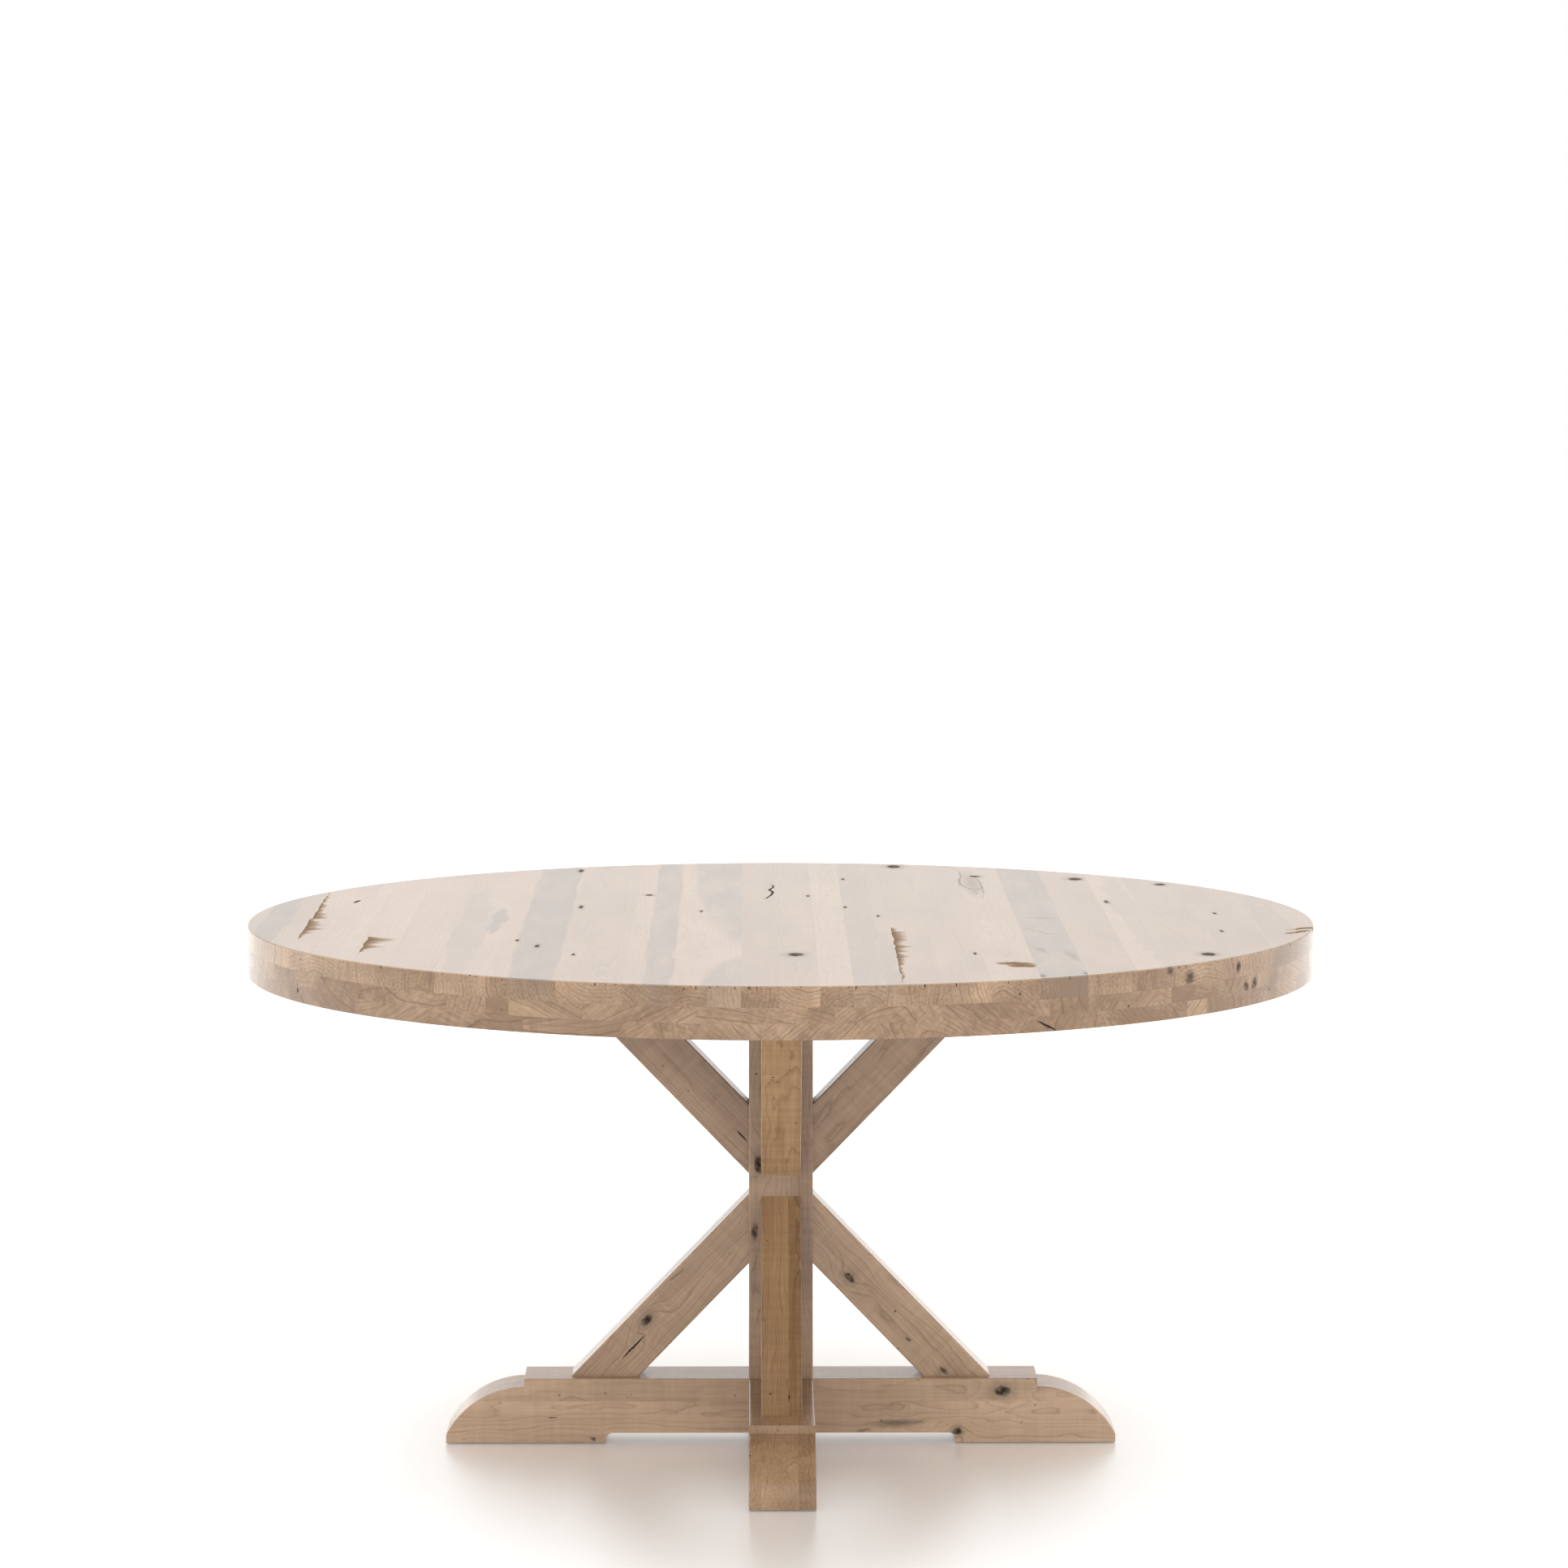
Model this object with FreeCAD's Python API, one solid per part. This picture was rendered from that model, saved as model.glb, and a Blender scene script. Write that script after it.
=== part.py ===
import FreeCAD, Part
import math
import os

# A round dining table of solid wood on a cross base, in millimetres.
# The origin is on the floor under the centre of the post. +Z is up.
# One foot runs along X. The other foot and the boards of the top run along Y, and the front is -Y.

# Whole table
TABLE_DIAMETER = 1524.0
TABLE_HEIGHT = 756.0

# Boards of the top, glued edge to edge with a stopped spline in each joint.
# Left to right, they fill the diameter in proportion to these widths.
BOARD_THICKNESS = 28.0
BOARD_WIDTHS = (86, 76, 70, 67, 76, 88, 88, 67, 44, 44, 50, 53, 44, 43, 73, 65, 66, 64, 68, 55, 75, 73, 89)
TOP_ARRIS = 1.5
SPLINE_THICKNESS = 6.0
SPLINE_DEPTH = 8.0
SPLINE_COVER = 6.0
SPLINE_STOP = 60.0
GLUE_ROOM = 0.5

# Two courses of curved segments that thicken the edge of the top, flush with it and each other
RIM_COURSE_HEIGHT = 21.5
RIM_WIDTH = 70.0
RIM_SEGMENT_COUNT = 10
RIM_FIRST_JOINT_DEG = 5.0
RIM_ARRIS = 0.6

# Crossed rails that carry the top
RAIL_LENGTH = 1000.0
RAIL_WIDTH = 92.0
RAIL_HEIGHT = 72.0
RAIL_END_BEVEL = 30.0

# Post, with a square tenon at each end
POST_SIDE = 92.0
POST_EDGE_RADIUS = 3.0
TENON_SIDE = 46.0
TENON_LENGTH = 45.0
TENON_CLEARANCE = 0.2

# Crossed feet: a flat top, a step down, a round nose and an arch between two soles
FOOT_LENGTH = 964.0
FOOT_WIDTH = 92.0
FOOT_HEIGHT = 93.0
FOOT_NOSE_RUN = 113.0
FOOT_STEP = 12.0
FOOT_NOSE_HEIGHT = 12.0
FOOT_ARCH_LENGTH = 504.0
FOOT_ARCH_HEIGHT = 14.0
FOOT_ARCH_RADIUS = 10.0
FOOT_ABOVE_FLOOR = 2.0
EDGE_RADIUS = 2.0

# Slanted braces between post and feet, and between post and rails
BRACE_THICKNESS = 57.0
BRACE_DEPTH = 70.0
BRACE_ANGLE_DEG = 46.0
BARE_POST = 30.0

# Dowels in both ends of each brace
DOWEL_DIAMETER = 10.0
DOWEL_LENGTH = 50.0
DOWEL_CLEARANCE = 0.1
POST_DOWEL_RISES = (25.0, 60.0)
FOOT_DOWEL_INSET = 57.0

# Lag screws that pull each brace down to its foot or up to its rail
LAG_DIAMETER = 8.0
LAG_HEAD_FLATS = 13.0
LAG_HEAD_HEIGHT = 5.5
LAG_INSET = 22.0
LAG_GRIP = 50.0
LAG_BITE = 50.0
LAG_POCKET_DIAMETER = 22.0

# Lag bolts along the middle of the post
BOLT_DIAMETER = 10.0
BOLT_HEAD_FLATS = 17.0
BOLT_HEAD_HEIGHT = 7.0
BOLT_LENGTH = 110.0
BOLT_POCKET_DIAMETER = 28.0
BOLT_POCKET_DEPTH = 10.0

# Screws from the rails into the boards, in slots along X so that the top can swell and shrink
TOP_SCREW_FIRST_REACH = 120.0
TOP_SCREW_END_INSETS = (140.0, 65.0)
TOP_SCREW_STAGGER = 20.0
TOP_SCREW_DIAMETER = 5.5
TOP_SCREW_HEAD_DIAMETER = 11.0
TOP_SCREW_HEAD_HEIGHT = 4.0
TOP_SCREW_GRIP = 25.0
TOP_SCREW_TIP_ROOM = 2.0
TOP_SLOT_TRAVEL = 8.0
TOP_SLOT_CLEARANCE = 0.75
WASHER_DIAMETER = 18.0
WASHER_THICKNESS = 1.6
TOP_POCKET_CLEARANCE = 1.5
SCREW_CLEARANCE = 0.1

# Levelers: a pad on the floor, a threaded stem that turns in it, and a threaded insert in the foot
LEVELER_INSET = 50.0
PAD_DIAMETER = 26.0
PAD_HEIGHT = 7.0
PAD_FLOOR = 2.5
PAD_EDGE_RADIUS = 1.0
PAD_POCKET_CLEARANCE = 2.5
STEM_DIAMETER = 8.0
STEM_LENGTH = 30.0
STEM_COLLAR_DIAMETER = 13.0
STEM_COLLAR_HEIGHT = 2.0
STEM_HEX_FLATS = 13.0
STEM_HEX_HEIGHT = 4.0
STEM_PLAY = 0.3
INSERT_DIAMETER = 14.0
INSERT_LENGTH = 20.0
THREAD_CLEARANCE = 0.1

# Levels and places worked out from the sizes above
V = FreeCAD.Vector
UP = V(0, 0, 1)
RADIUS = TABLE_DIAMETER / 2
BOARD_SCALE = TABLE_DIAMETER / sum(BOARD_WIDTHS)
BOARD_UNDERSIDE = TABLE_HEIGHT - BOARD_THICKNESS
RIM_UNDERSIDE = BOARD_UNDERSIDE - 2 * RIM_COURSE_HEIGHT
SPLINE_TOP = TABLE_HEIGHT - SPLINE_COVER
SPLINE_BOTTOM = SPLINE_TOP - SPLINE_THICKNESS
RAIL_UNDERSIDE = BOARD_UNDERSIDE - RAIL_HEIGHT
RAIL_LAP = BOARD_UNDERSIDE - RAIL_HEIGHT / 2
FOOT_TOP = FOOT_ABOVE_FLOOR + FOOT_HEIGHT
FOOT_SHOULDER = FOOT_TOP - FOOT_STEP
FOOT_ARCH = FOOT_ABOVE_FLOOR + FOOT_ARCH_HEIGHT
FOOT_LAP = (FOOT_TOP + FOOT_ARCH) / 2
MIDDLE = (FOOT_TOP + RAIL_UNDERSIDE) / 2
BRACE_SLOPE = math.tan(math.radians(BRACE_ANGLE_DEG))
BRACE_POST_TOP = MIDDLE - BARE_POST / 2
BRACE_POST_BOTTOM = BRACE_POST_TOP - BRACE_DEPTH / math.cos(math.radians(BRACE_ANGLE_DEG))
BRACE_FOOT_OUTER = POST_SIDE / 2 + (BRACE_POST_TOP - FOOT_TOP) / BRACE_SLOPE
BRACE_FOOT_INNER = POST_SIDE / 2 + (BRACE_POST_BOTTOM - FOOT_TOP) / BRACE_SLOPE
LEVELER_REACH = FOOT_LENGTH / 2 - LEVELER_INSET
HEX_BOTTOM = PAD_HEIGHT + STEM_PLAY
HEX_TOP = HEX_BOTTOM + STEM_HEX_HEIGHT
STEM_TOP = HEX_TOP + STEM_LENGTH
LEVELER_POCKET_TOP = HEX_TOP + STEM_PLAY
INSERT_TOP = LEVELER_POCKET_TOP + INSERT_LENGTH

# The four arms of the base, by the angle that each makes with the arm along +X
ARMS = {"right": 0, "back": 90, "left": 180, "front": 270}


def block(x, y, z):
    """A box between a low and a high limit on each axis."""
    return Part.makeBox(x[1] - x[0], y[1] - y[0], z[1] - z[0], V(x[0], y[0], z[0]))


def centred(width, depth, z):
    """A box centred on the post's axis."""
    return block((-width / 2, width / 2), (-depth / 2, depth / 2), z)


def rod(diameter, z, x=0.0, y=0.0):
    """An upright cylinder between two levels."""
    return Part.makeCylinder(diameter / 2, z[1] - z[0], V(x, y, z[0]), UP)


def hexagon(flats, z, x=0.0, y=0.0):
    """An upright hexagonal prism, sized across its flats."""
    corner = flats / math.sqrt(3)
    turns = [math.radians(60 * step) for step in range(7)]
    outline = [V(x + corner * math.cos(turn), y + corner * math.sin(turn), z[0]) for turn in turns]
    return Part.Face(Part.makePolygon(outline)).extrude(V(0, 0, z[1] - z[0]))


def slot(width, travel, z, place):
    """An upright slot cutter whose long way is along X."""
    ends = [rod(width, z, place.x + side * travel / 2, place.y) for side in (-1, 1)]
    middle_x = (place.x - travel / 2, place.x + travel / 2)
    middle_y = (place.y - width / 2, place.y + width / 2)
    return block(middle_x, middle_y, z).fuse(ends).removeSplitter()


def turned(shape, degrees):
    """A copy turned about the post's axis."""
    copy = shape.copy()
    copy.rotate(V(), UP, degrees)
    return copy


def flipped(shape):
    """A copy mirrored in the level plane halfway between the feet and the rails."""
    return shape.mirror(V(0, 0, MIDDLE), UP)


def on_all_arms(shapes):
    """Copies of the right arm's shapes on every arm."""
    return [turned(shape, degrees) for degrees in ARMS.values() for shape in shapes]


def outer_rings(shape, levels):
    """The full-radius circular edges of a disc or ring at the given levels."""
    rings = [edge for edge in shape.Edges if abs(edge.Length - 2 * math.pi * RADIUS) < 0.01]
    return [ring for ring in rings if min(abs(ring.CenterOfMass.z - z) for z in levels) < 0.01]


# Top boards and their splines

def joint_lines():
    """X of each glue line between two boards."""
    lines = []
    x = -RADIUS
    for width in BOARD_WIDTHS[:-1]:
        x += width * BOARD_SCALE
        lines.append(x)
    return lines


def splines(room):
    """One bar per glue line, stopped short of the round edge. Room makes it the cutter of its groove."""
    bars = []
    for x in joint_lines():
        half_length = math.sqrt(RADIUS ** 2 - x ** 2) - SPLINE_STOP
        if half_length > 0:
            across = (x - SPLINE_DEPTH - room, x + SPLINE_DEPTH + room)
            along = (-half_length - room, half_length + room)
            bars.append(block(across, along, (SPLINE_BOTTOM, SPLINE_TOP)))
    return bars


def boards():
    """The boards from left to right, cut to the round top."""
    disc = Part.makeCylinder(RADIUS, BOARD_THICKNESS, V(0, 0, BOARD_UNDERSIDE), UP)
    disc = disc.makeChamfer(TOP_ARRIS, outer_rings(disc, [TABLE_HEIGHT]))
    cutters = splines(GLUE_ROOM) + top_screw_pilots()
    edges = [-RADIUS] + joint_lines() + [RADIUS]
    levels = (BOARD_UNDERSIDE, TABLE_HEIGHT)
    strips = [block(pair, (-RADIUS, RADIUS), levels) for pair in zip(edges, edges[1:])]
    return [disc.common(strip).cut(cutters) for strip in strips]


# Rim

def rim_ring():
    """Both courses in one piece, with the lowest outer edge eased."""
    levels = (RIM_UNDERSIDE, BOARD_UNDERSIDE)
    ring = rod(TABLE_DIAMETER, levels)
    ring = ring.makeChamfer(RIM_ARRIS, outer_rings(ring, [RIM_UNDERSIDE]))
    return ring.cut(rod(TABLE_DIAMETER - 2 * RIM_WIDTH, levels))


def rim_segments(course):
    """The separate segments of one course, counted down from the boards, with staggered joints."""
    ring = rim_ring()
    bottom = BOARD_UNDERSIDE - (course + 1) * RIM_COURSE_HEIGHT
    pitch = 360 / RIM_SEGMENT_COUNT
    start = ARMS["front"] + RIM_FIRST_JOINT_DEG + course * pitch / 2
    wedge = Part.makeCylinder(TABLE_DIAMETER, RIM_COURSE_HEIGHT, V(0, 0, bottom), UP, pitch)
    return [ring.common(turned(wedge, start + step * pitch)) for step in range(RIM_SEGMENT_COUNT)]


# Screws between the rails and the boards

def top_screw_places():
    """Where the screws stand, on alternate sides of each rail's middle line."""
    right_arm = []
    side = 1
    for reach in [TOP_SCREW_FIRST_REACH] + [RAIL_LENGTH / 2 - inset for inset in TOP_SCREW_END_INSETS]:
        right_arm.append(V(reach, side * TOP_SCREW_STAGGER, 0))
        side = -side
    turns = [FreeCAD.Rotation(UP, degrees) for degrees in ARMS.values()]
    return [turn.multVec(place) for turn in turns for place in right_arm]


TOP_SCREW_SEAT = BOARD_UNDERSIDE - TOP_SCREW_GRIP
TOP_SCREW_TIP = SPLINE_BOTTOM - TOP_SCREW_TIP_ROOM


def top_screws():
    """Pan-head screws, heads down."""
    neck = TOP_SCREW_SEAT - WASHER_THICKNESS
    screws = []
    for place in top_screw_places():
        head = rod(TOP_SCREW_HEAD_DIAMETER, (neck - TOP_SCREW_HEAD_HEIGHT, neck), place.x, place.y)
        shank = rod(TOP_SCREW_DIAMETER, (neck, TOP_SCREW_TIP), place.x, place.y)
        screws.append(head.fuse(shank))
    return screws


def top_washers():
    """A washer under each screw head."""
    levels = (TOP_SCREW_SEAT - WASHER_THICKNESS, TOP_SCREW_SEAT)
    hole = TOP_SCREW_DIAMETER + 2 * SCREW_CLEARANCE
    washers = []
    for place in top_screw_places():
        disc = rod(WASHER_DIAMETER, levels, place.x, place.y)
        washers.append(disc.cut(rod(hole, levels, place.x, place.y)))
    return washers


def top_screw_pilots():
    """Cutters of the pilot holes in the boards."""
    levels = (BOARD_UNDERSIDE, TOP_SCREW_TIP + GLUE_ROOM)
    diameter = TOP_SCREW_DIAMETER + 2 * SCREW_CLEARANCE
    return [rod(diameter, levels, place.x, place.y) for place in top_screw_places()]


def top_screw_slots():
    """Cutters of the slots in the rails, with a deep pocket for the washer and the head."""
    cutters = []
    for place in top_screw_places():
        narrow = TOP_SCREW_DIAMETER + 2 * TOP_SLOT_CLEARANCE
        wide = WASHER_DIAMETER + 2 * TOP_POCKET_CLEARANCE
        cutters.append(slot(narrow, TOP_SLOT_TRAVEL, (TOP_SCREW_SEAT, BOARD_UNDERSIDE), place))
        cutters.append(slot(wide, TOP_SLOT_TRAVEL, (RAIL_UNDERSIDE, TOP_SCREW_SEAT), place))
    return cutters


# Braces with their dowels and lag screws, made on the lower right and copied to the other places

def brace_blank():
    """A slanted bar cut to meet the post upright and the foot level."""
    outline = [
        V(POST_SIDE / 2, 0, BRACE_POST_TOP),
        V(BRACE_FOOT_OUTER, 0, FOOT_TOP),
        V(BRACE_FOOT_INNER, 0, FOOT_TOP),
        V(POST_SIDE / 2, 0, BRACE_POST_BOTTOM),
    ]
    face = Part.Face(Part.makePolygon(outline + outline[:1]))
    face.translate(V(0, -BRACE_THICKNESS / 2, 0))
    bar = face.extrude(V(0, BRACE_THICKNESS, 0))

    def is_long(edge):
        run = edge.Vertexes[0].Point - edge.Vertexes[1].Point
        return abs(run.x) > 1 and abs(run.z) > 1
    return bar.makeFillet(EDGE_RADIUS, [edge for edge in bar.Edges if is_long(edge)])


def brace_dowels(clearance, end_room):
    """Dowels of the lower right brace. With clearance and end room they are the cutters of their holes."""
    diameter = DOWEL_DIAMETER + 2 * clearance
    half = DOWEL_LENGTH / 2 + end_room
    dowels = [rod(diameter, (FOOT_TOP - half, FOOT_TOP + half), BRACE_FOOT_INNER + FOOT_DOWEL_INSET)]
    for rise in POST_DOWEL_RISES:
        start = V(POST_SIDE / 2 - half, 0, BRACE_POST_BOTTOM + rise)
        dowels.append(Part.makeCylinder(diameter / 2, 2 * half, start, V(1, 0, 0)))
    return dowels


LAG_X = BRACE_FOOT_INNER + LAG_INSET
LAG_SEAT = FOOT_TOP - LAG_GRIP
LAG_TIP = FOOT_TOP + LAG_BITE


def brace_lag():
    """The lag screw of the lower right brace, head down."""
    head = hexagon(LAG_HEAD_FLATS, (LAG_SEAT - LAG_HEAD_HEIGHT, LAG_SEAT), LAG_X)
    return head.fuse(rod(LAG_DIAMETER, (LAG_SEAT, LAG_TIP), LAG_X))


def brace_lag_cutters():
    """Cutters of the screw's hole and of the pocket that its head sits in, open at the far face."""
    hole = rod(LAG_DIAMETER + 2 * SCREW_CLEARANCE, (LAG_SEAT, LAG_TIP + GLUE_ROOM), LAG_X)
    pocket = rod(LAG_POCKET_DIAMETER, (LAG_SEAT - TABLE_HEIGHT, LAG_SEAT), LAG_X)
    return [hole, pocket]


def lower_brace_cutters():
    """Cutters of every hole that belongs to the lower braces."""
    return on_all_arms(brace_dowels(DOWEL_CLEARANCE, GLUE_ROOM) + brace_lag_cutters())


def upper_brace_cutters():
    """Cutters of every hole that belongs to the upper braces."""
    return [flipped(cutter) for cutter in lower_brace_cutters()]


def braces():
    """Lower and upper brace of each arm, by name."""
    blank = brace_blank().cut(brace_dowels(DOWEL_CLEARANCE, GLUE_ROOM) + brace_lag_cutters())
    named = {}
    for arm, degrees in ARMS.items():
        lower = turned(blank, degrees)
        named["lower_brace_" + arm] = lower
        named["upper_brace_" + arm] = flipped(lower)
    return named


# Post and its bolts

def post_bolt(seat, way):
    """A lag bolt on the post's axis, with its shank going up or down from the seat of its head."""
    head = hexagon(BOLT_HEAD_FLATS, sorted_pair(seat, seat - way * BOLT_HEAD_HEIGHT))
    return head.fuse(rod(BOLT_DIAMETER, sorted_pair(seat, seat + way * BOLT_LENGTH)))


def post_bolt_cutters(seat, way):
    """Cutters of the bolt's hole and of the pocket for its head."""
    tip = seat + way * (BOLT_LENGTH + GLUE_ROOM)
    hole = rod(BOLT_DIAMETER + 2 * SCREW_CLEARANCE, sorted_pair(seat, tip))
    pocket = rod(BOLT_POCKET_DIAMETER, sorted_pair(seat, seat - way * BOLT_POCKET_DEPTH))
    return [hole, pocket]


def sorted_pair(first, second):
    """Two levels in rising order."""
    return (min(first, second), max(first, second))


LOWER_BOLT = (FOOT_ARCH + BOLT_POCKET_DEPTH, 1)
UPPER_BOLT = (BOARD_UNDERSIDE - BOLT_POCKET_DEPTH, -1)


def post():
    """A square post with rounded corners and a tenon at each end."""
    body = centred(POST_SIDE, POST_SIDE, (FOOT_TOP, RAIL_UNDERSIDE))
    height = RAIL_UNDERSIDE - FOOT_TOP
    corners = [edge for edge in body.Edges if abs(edge.Length - height) < 0.01]
    body = body.makeFillet(POST_EDGE_RADIUS, corners)
    tenons = centred(TENON_SIDE, TENON_SIDE, (FOOT_TOP - TENON_LENGTH, RAIL_UNDERSIDE + TENON_LENGTH))
    cutters = lower_brace_cutters() + upper_brace_cutters()
    cutters += post_bolt_cutters(*LOWER_BOLT) + post_bolt_cutters(*UPPER_BOLT)
    return body.fuse(tenons).removeSplitter().cut(cutters)


def mortise(shoulder, way):
    """Cutter of the square hole that takes a tenon, going up or down from the post's shoulder."""
    side = TENON_SIDE + 2 * TENON_CLEARANCE
    return centred(side, side, sorted_pair(shoulder, shoulder + way * (TENON_LENGTH + GLUE_ROOM)))


# Rails

def rail_blank():
    """A rail along X with its lower end corners bevelled."""
    half = RAIL_LENGTH / 2
    outline = [
        V(-half, 0, BOARD_UNDERSIDE),
        V(half, 0, BOARD_UNDERSIDE),
        V(half, 0, RAIL_UNDERSIDE + RAIL_END_BEVEL),
        V(half - RAIL_END_BEVEL, 0, RAIL_UNDERSIDE),
        V(-half + RAIL_END_BEVEL, 0, RAIL_UNDERSIDE),
        V(-half, 0, RAIL_UNDERSIDE + RAIL_END_BEVEL),
    ]
    face = Part.Face(Part.makePolygon(outline + outline[:1]))
    face.translate(V(0, -RAIL_WIDTH / 2, 0))
    rail = face.extrude(V(0, RAIL_WIDTH, 0))
    span = RAIL_LENGTH - 2 * RAIL_END_BEVEL
    long_edges = [edge for edge in rail.Edges if abs(edge.Length - span) < 0.01]
    return rail.makeFillet(EDGE_RADIUS, long_edges)


def rails():
    """The two rails, halved over each other at the middle, with the mortise and every screw hole."""
    over = rail_blank()
    under = turned(over, ARMS["back"])
    notch_low = centred(RAIL_WIDTH, 2 * RAIL_WIDTH, (RAIL_UNDERSIDE, RAIL_LAP))
    notch_high = centred(2 * RAIL_WIDTH, RAIL_WIDTH, (RAIL_LAP, BOARD_UNDERSIDE))
    cutters = [mortise(RAIL_UNDERSIDE, 1)] + post_bolt_cutters(*UPPER_BOLT)
    cutters += upper_brace_cutters() + top_screw_slots()
    return {
        "side_to_side_rail": over.cut([notch_low] + cutters),
        "front_to_back_rail": under.cut([notch_high] + cutters),
    }


# Feet

def line(start, end):
    """A straight edge between two points of the side outline, each given as x and z."""
    return Part.LineSegment(V(start[0], 0, start[1]), V(end[0], 0, end[1])).toShape()


def arc(centre, radius, from_deg, to_deg, side):
    """An arc of the side outline, mirrored left to right where side is -1."""
    points = []
    for degrees in (from_deg, (from_deg + to_deg) / 2, to_deg):
        turn = math.radians(degrees)
        points.append(V(side * (centre[0] + radius * math.cos(turn)), 0, centre[1] + radius * math.sin(turn)))
    return Part.Arc(*points).toShape()


def foot_blank():
    """A foot along X: flat top, step, round nose, upright end, sole and arch."""
    end = FOOT_LENGTH / 2
    flat = end - FOOT_NOSE_RUN
    sole = FOOT_ARCH_LENGTH / 2
    nose = FOOT_ABOVE_FLOOR + FOOT_NOSE_HEIGHT
    drop = FOOT_SHOULDER - nose
    nose_radius = (FOOT_NOSE_RUN ** 2 + drop ** 2) / (2 * drop)
    nose_turn = math.degrees(math.asin(FOOT_NOSE_RUN / nose_radius))
    cove = (sole - FOOT_ARCH_RADIUS, FOOT_ARCH - FOOT_ARCH_RADIUS)
    edges = [line((-flat, FOOT_TOP), (flat, FOOT_TOP)), line((-cove[0], FOOT_ARCH), (cove[0], FOOT_ARCH))]
    for side in (-1, 1):
        edges.append(line((side * flat, FOOT_TOP), (side * flat, FOOT_SHOULDER)))
        edges.append(arc((flat, FOOT_SHOULDER - nose_radius), nose_radius, 90, 90 - nose_turn, side))
        edges.append(line((side * end, nose), (side * end, FOOT_ABOVE_FLOOR)))
        edges.append(line((side * end, FOOT_ABOVE_FLOOR), (side * sole, FOOT_ABOVE_FLOOR)))
        edges.append(line((side * sole, FOOT_ABOVE_FLOOR), (side * sole, cove[1])))
        edges.append(arc(cove, FOOT_ARCH_RADIUS, 0, 90, side))
    face = Part.Face(Part.Wire(Part.__sortEdges__(edges)))
    face.translate(V(0, -FOOT_WIDTH / 2, 0))
    foot = face.extrude(V(0, FOOT_WIDTH, 0))

    def is_handled(edge):
        middle = edge.CenterOfMass
        is_top = abs(edge.Length - 2 * flat) < 0.01 and middle.z > FOOT_SHOULDER
        is_nose = edge.Curve.TypeId == "Part::GeomCircle" and abs(middle.x) > flat
        return is_top or is_nose
    return foot.makeFillet(EDGE_RADIUS, [edge for edge in foot.Edges if is_handled(edge)])


def feet():
    """The two feet, halved over each other, with the mortise, screw holes and leveler pockets."""
    over = foot_blank()
    under = turned(over, ARMS["back"])
    notch_low = centred(FOOT_WIDTH, 2 * FOOT_WIDTH, (FOOT_ABOVE_FLOOR, FOOT_LAP))
    notch_high = centred(2 * FOOT_WIDTH, FOOT_WIDTH, (FOOT_LAP, FOOT_TOP))
    cutters = [mortise(FOOT_TOP, -1)] + post_bolt_cutters(*LOWER_BOLT)
    cutters += lower_brace_cutters() + on_all_arms(leveler_cutters())
    return {
        "side_to_side_foot": over.cut([notch_low] + cutters),
        "front_to_back_foot": under.cut([notch_high] + cutters),
    }


# Levelers, made on the right arm and copied to the others

def leveler_cutters():
    """Cutters of the pad's pocket, the insert's seat and the room above the stem."""
    pocket_diameter = PAD_DIAMETER + 2 * PAD_POCKET_CLEARANCE
    pocket = rod(pocket_diameter, (FOOT_ABOVE_FLOOR, LEVELER_POCKET_TOP), LEVELER_REACH)
    seat = rod(INSERT_DIAMETER, (LEVELER_POCKET_TOP, INSERT_TOP), LEVELER_REACH)
    room = rod(STEM_DIAMETER + 2 * STEM_PLAY, (INSERT_TOP, STEM_TOP + STEM_PLAY), LEVELER_REACH)
    return [pocket, seat, room]


def leveler_insert():
    """A threaded barrel pressed into the foot."""
    levels = (LEVELER_POCKET_TOP, INSERT_TOP)
    bore = rod(STEM_DIAMETER + 2 * THREAD_CLEARANCE, levels, LEVELER_REACH)
    return rod(INSERT_DIAMETER, levels, LEVELER_REACH).cut(bore)


def leveler_pad():
    """A round pad with a pocket that traps the stem's collar and lets it turn."""
    collar_top = PAD_FLOOR + STEM_COLLAR_HEIGHT + STEM_PLAY
    pad = rod(PAD_DIAMETER, (0, PAD_HEIGHT), LEVELER_REACH)
    rims = [edge for edge in pad.Edges if edge.Curve.TypeId == "Part::GeomCircle"]
    pad = pad.makeFillet(PAD_EDGE_RADIUS, rims)
    collar_room = rod(STEM_COLLAR_DIAMETER + 2 * STEM_PLAY, (PAD_FLOOR, collar_top), LEVELER_REACH)
    neck_room = rod(STEM_DIAMETER + 2 * STEM_PLAY, (collar_top, PAD_HEIGHT), LEVELER_REACH)
    return pad.cut([collar_room, neck_room])


def leveler_stem():
    """A threaded stem with a collar in the pad and a hexagon to turn it by."""
    collar = rod(STEM_COLLAR_DIAMETER, (PAD_FLOOR, PAD_FLOOR + STEM_COLLAR_HEIGHT), LEVELER_REACH)
    shank = rod(STEM_DIAMETER, (PAD_FLOOR, STEM_TOP), LEVELER_REACH)
    hexagon_nut = hexagon(STEM_HEX_FLATS, (HEX_BOTTOM, HEX_TOP), LEVELER_REACH)
    return collar.fuse([shank, hexagon_nut]).removeSplitter()


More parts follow.
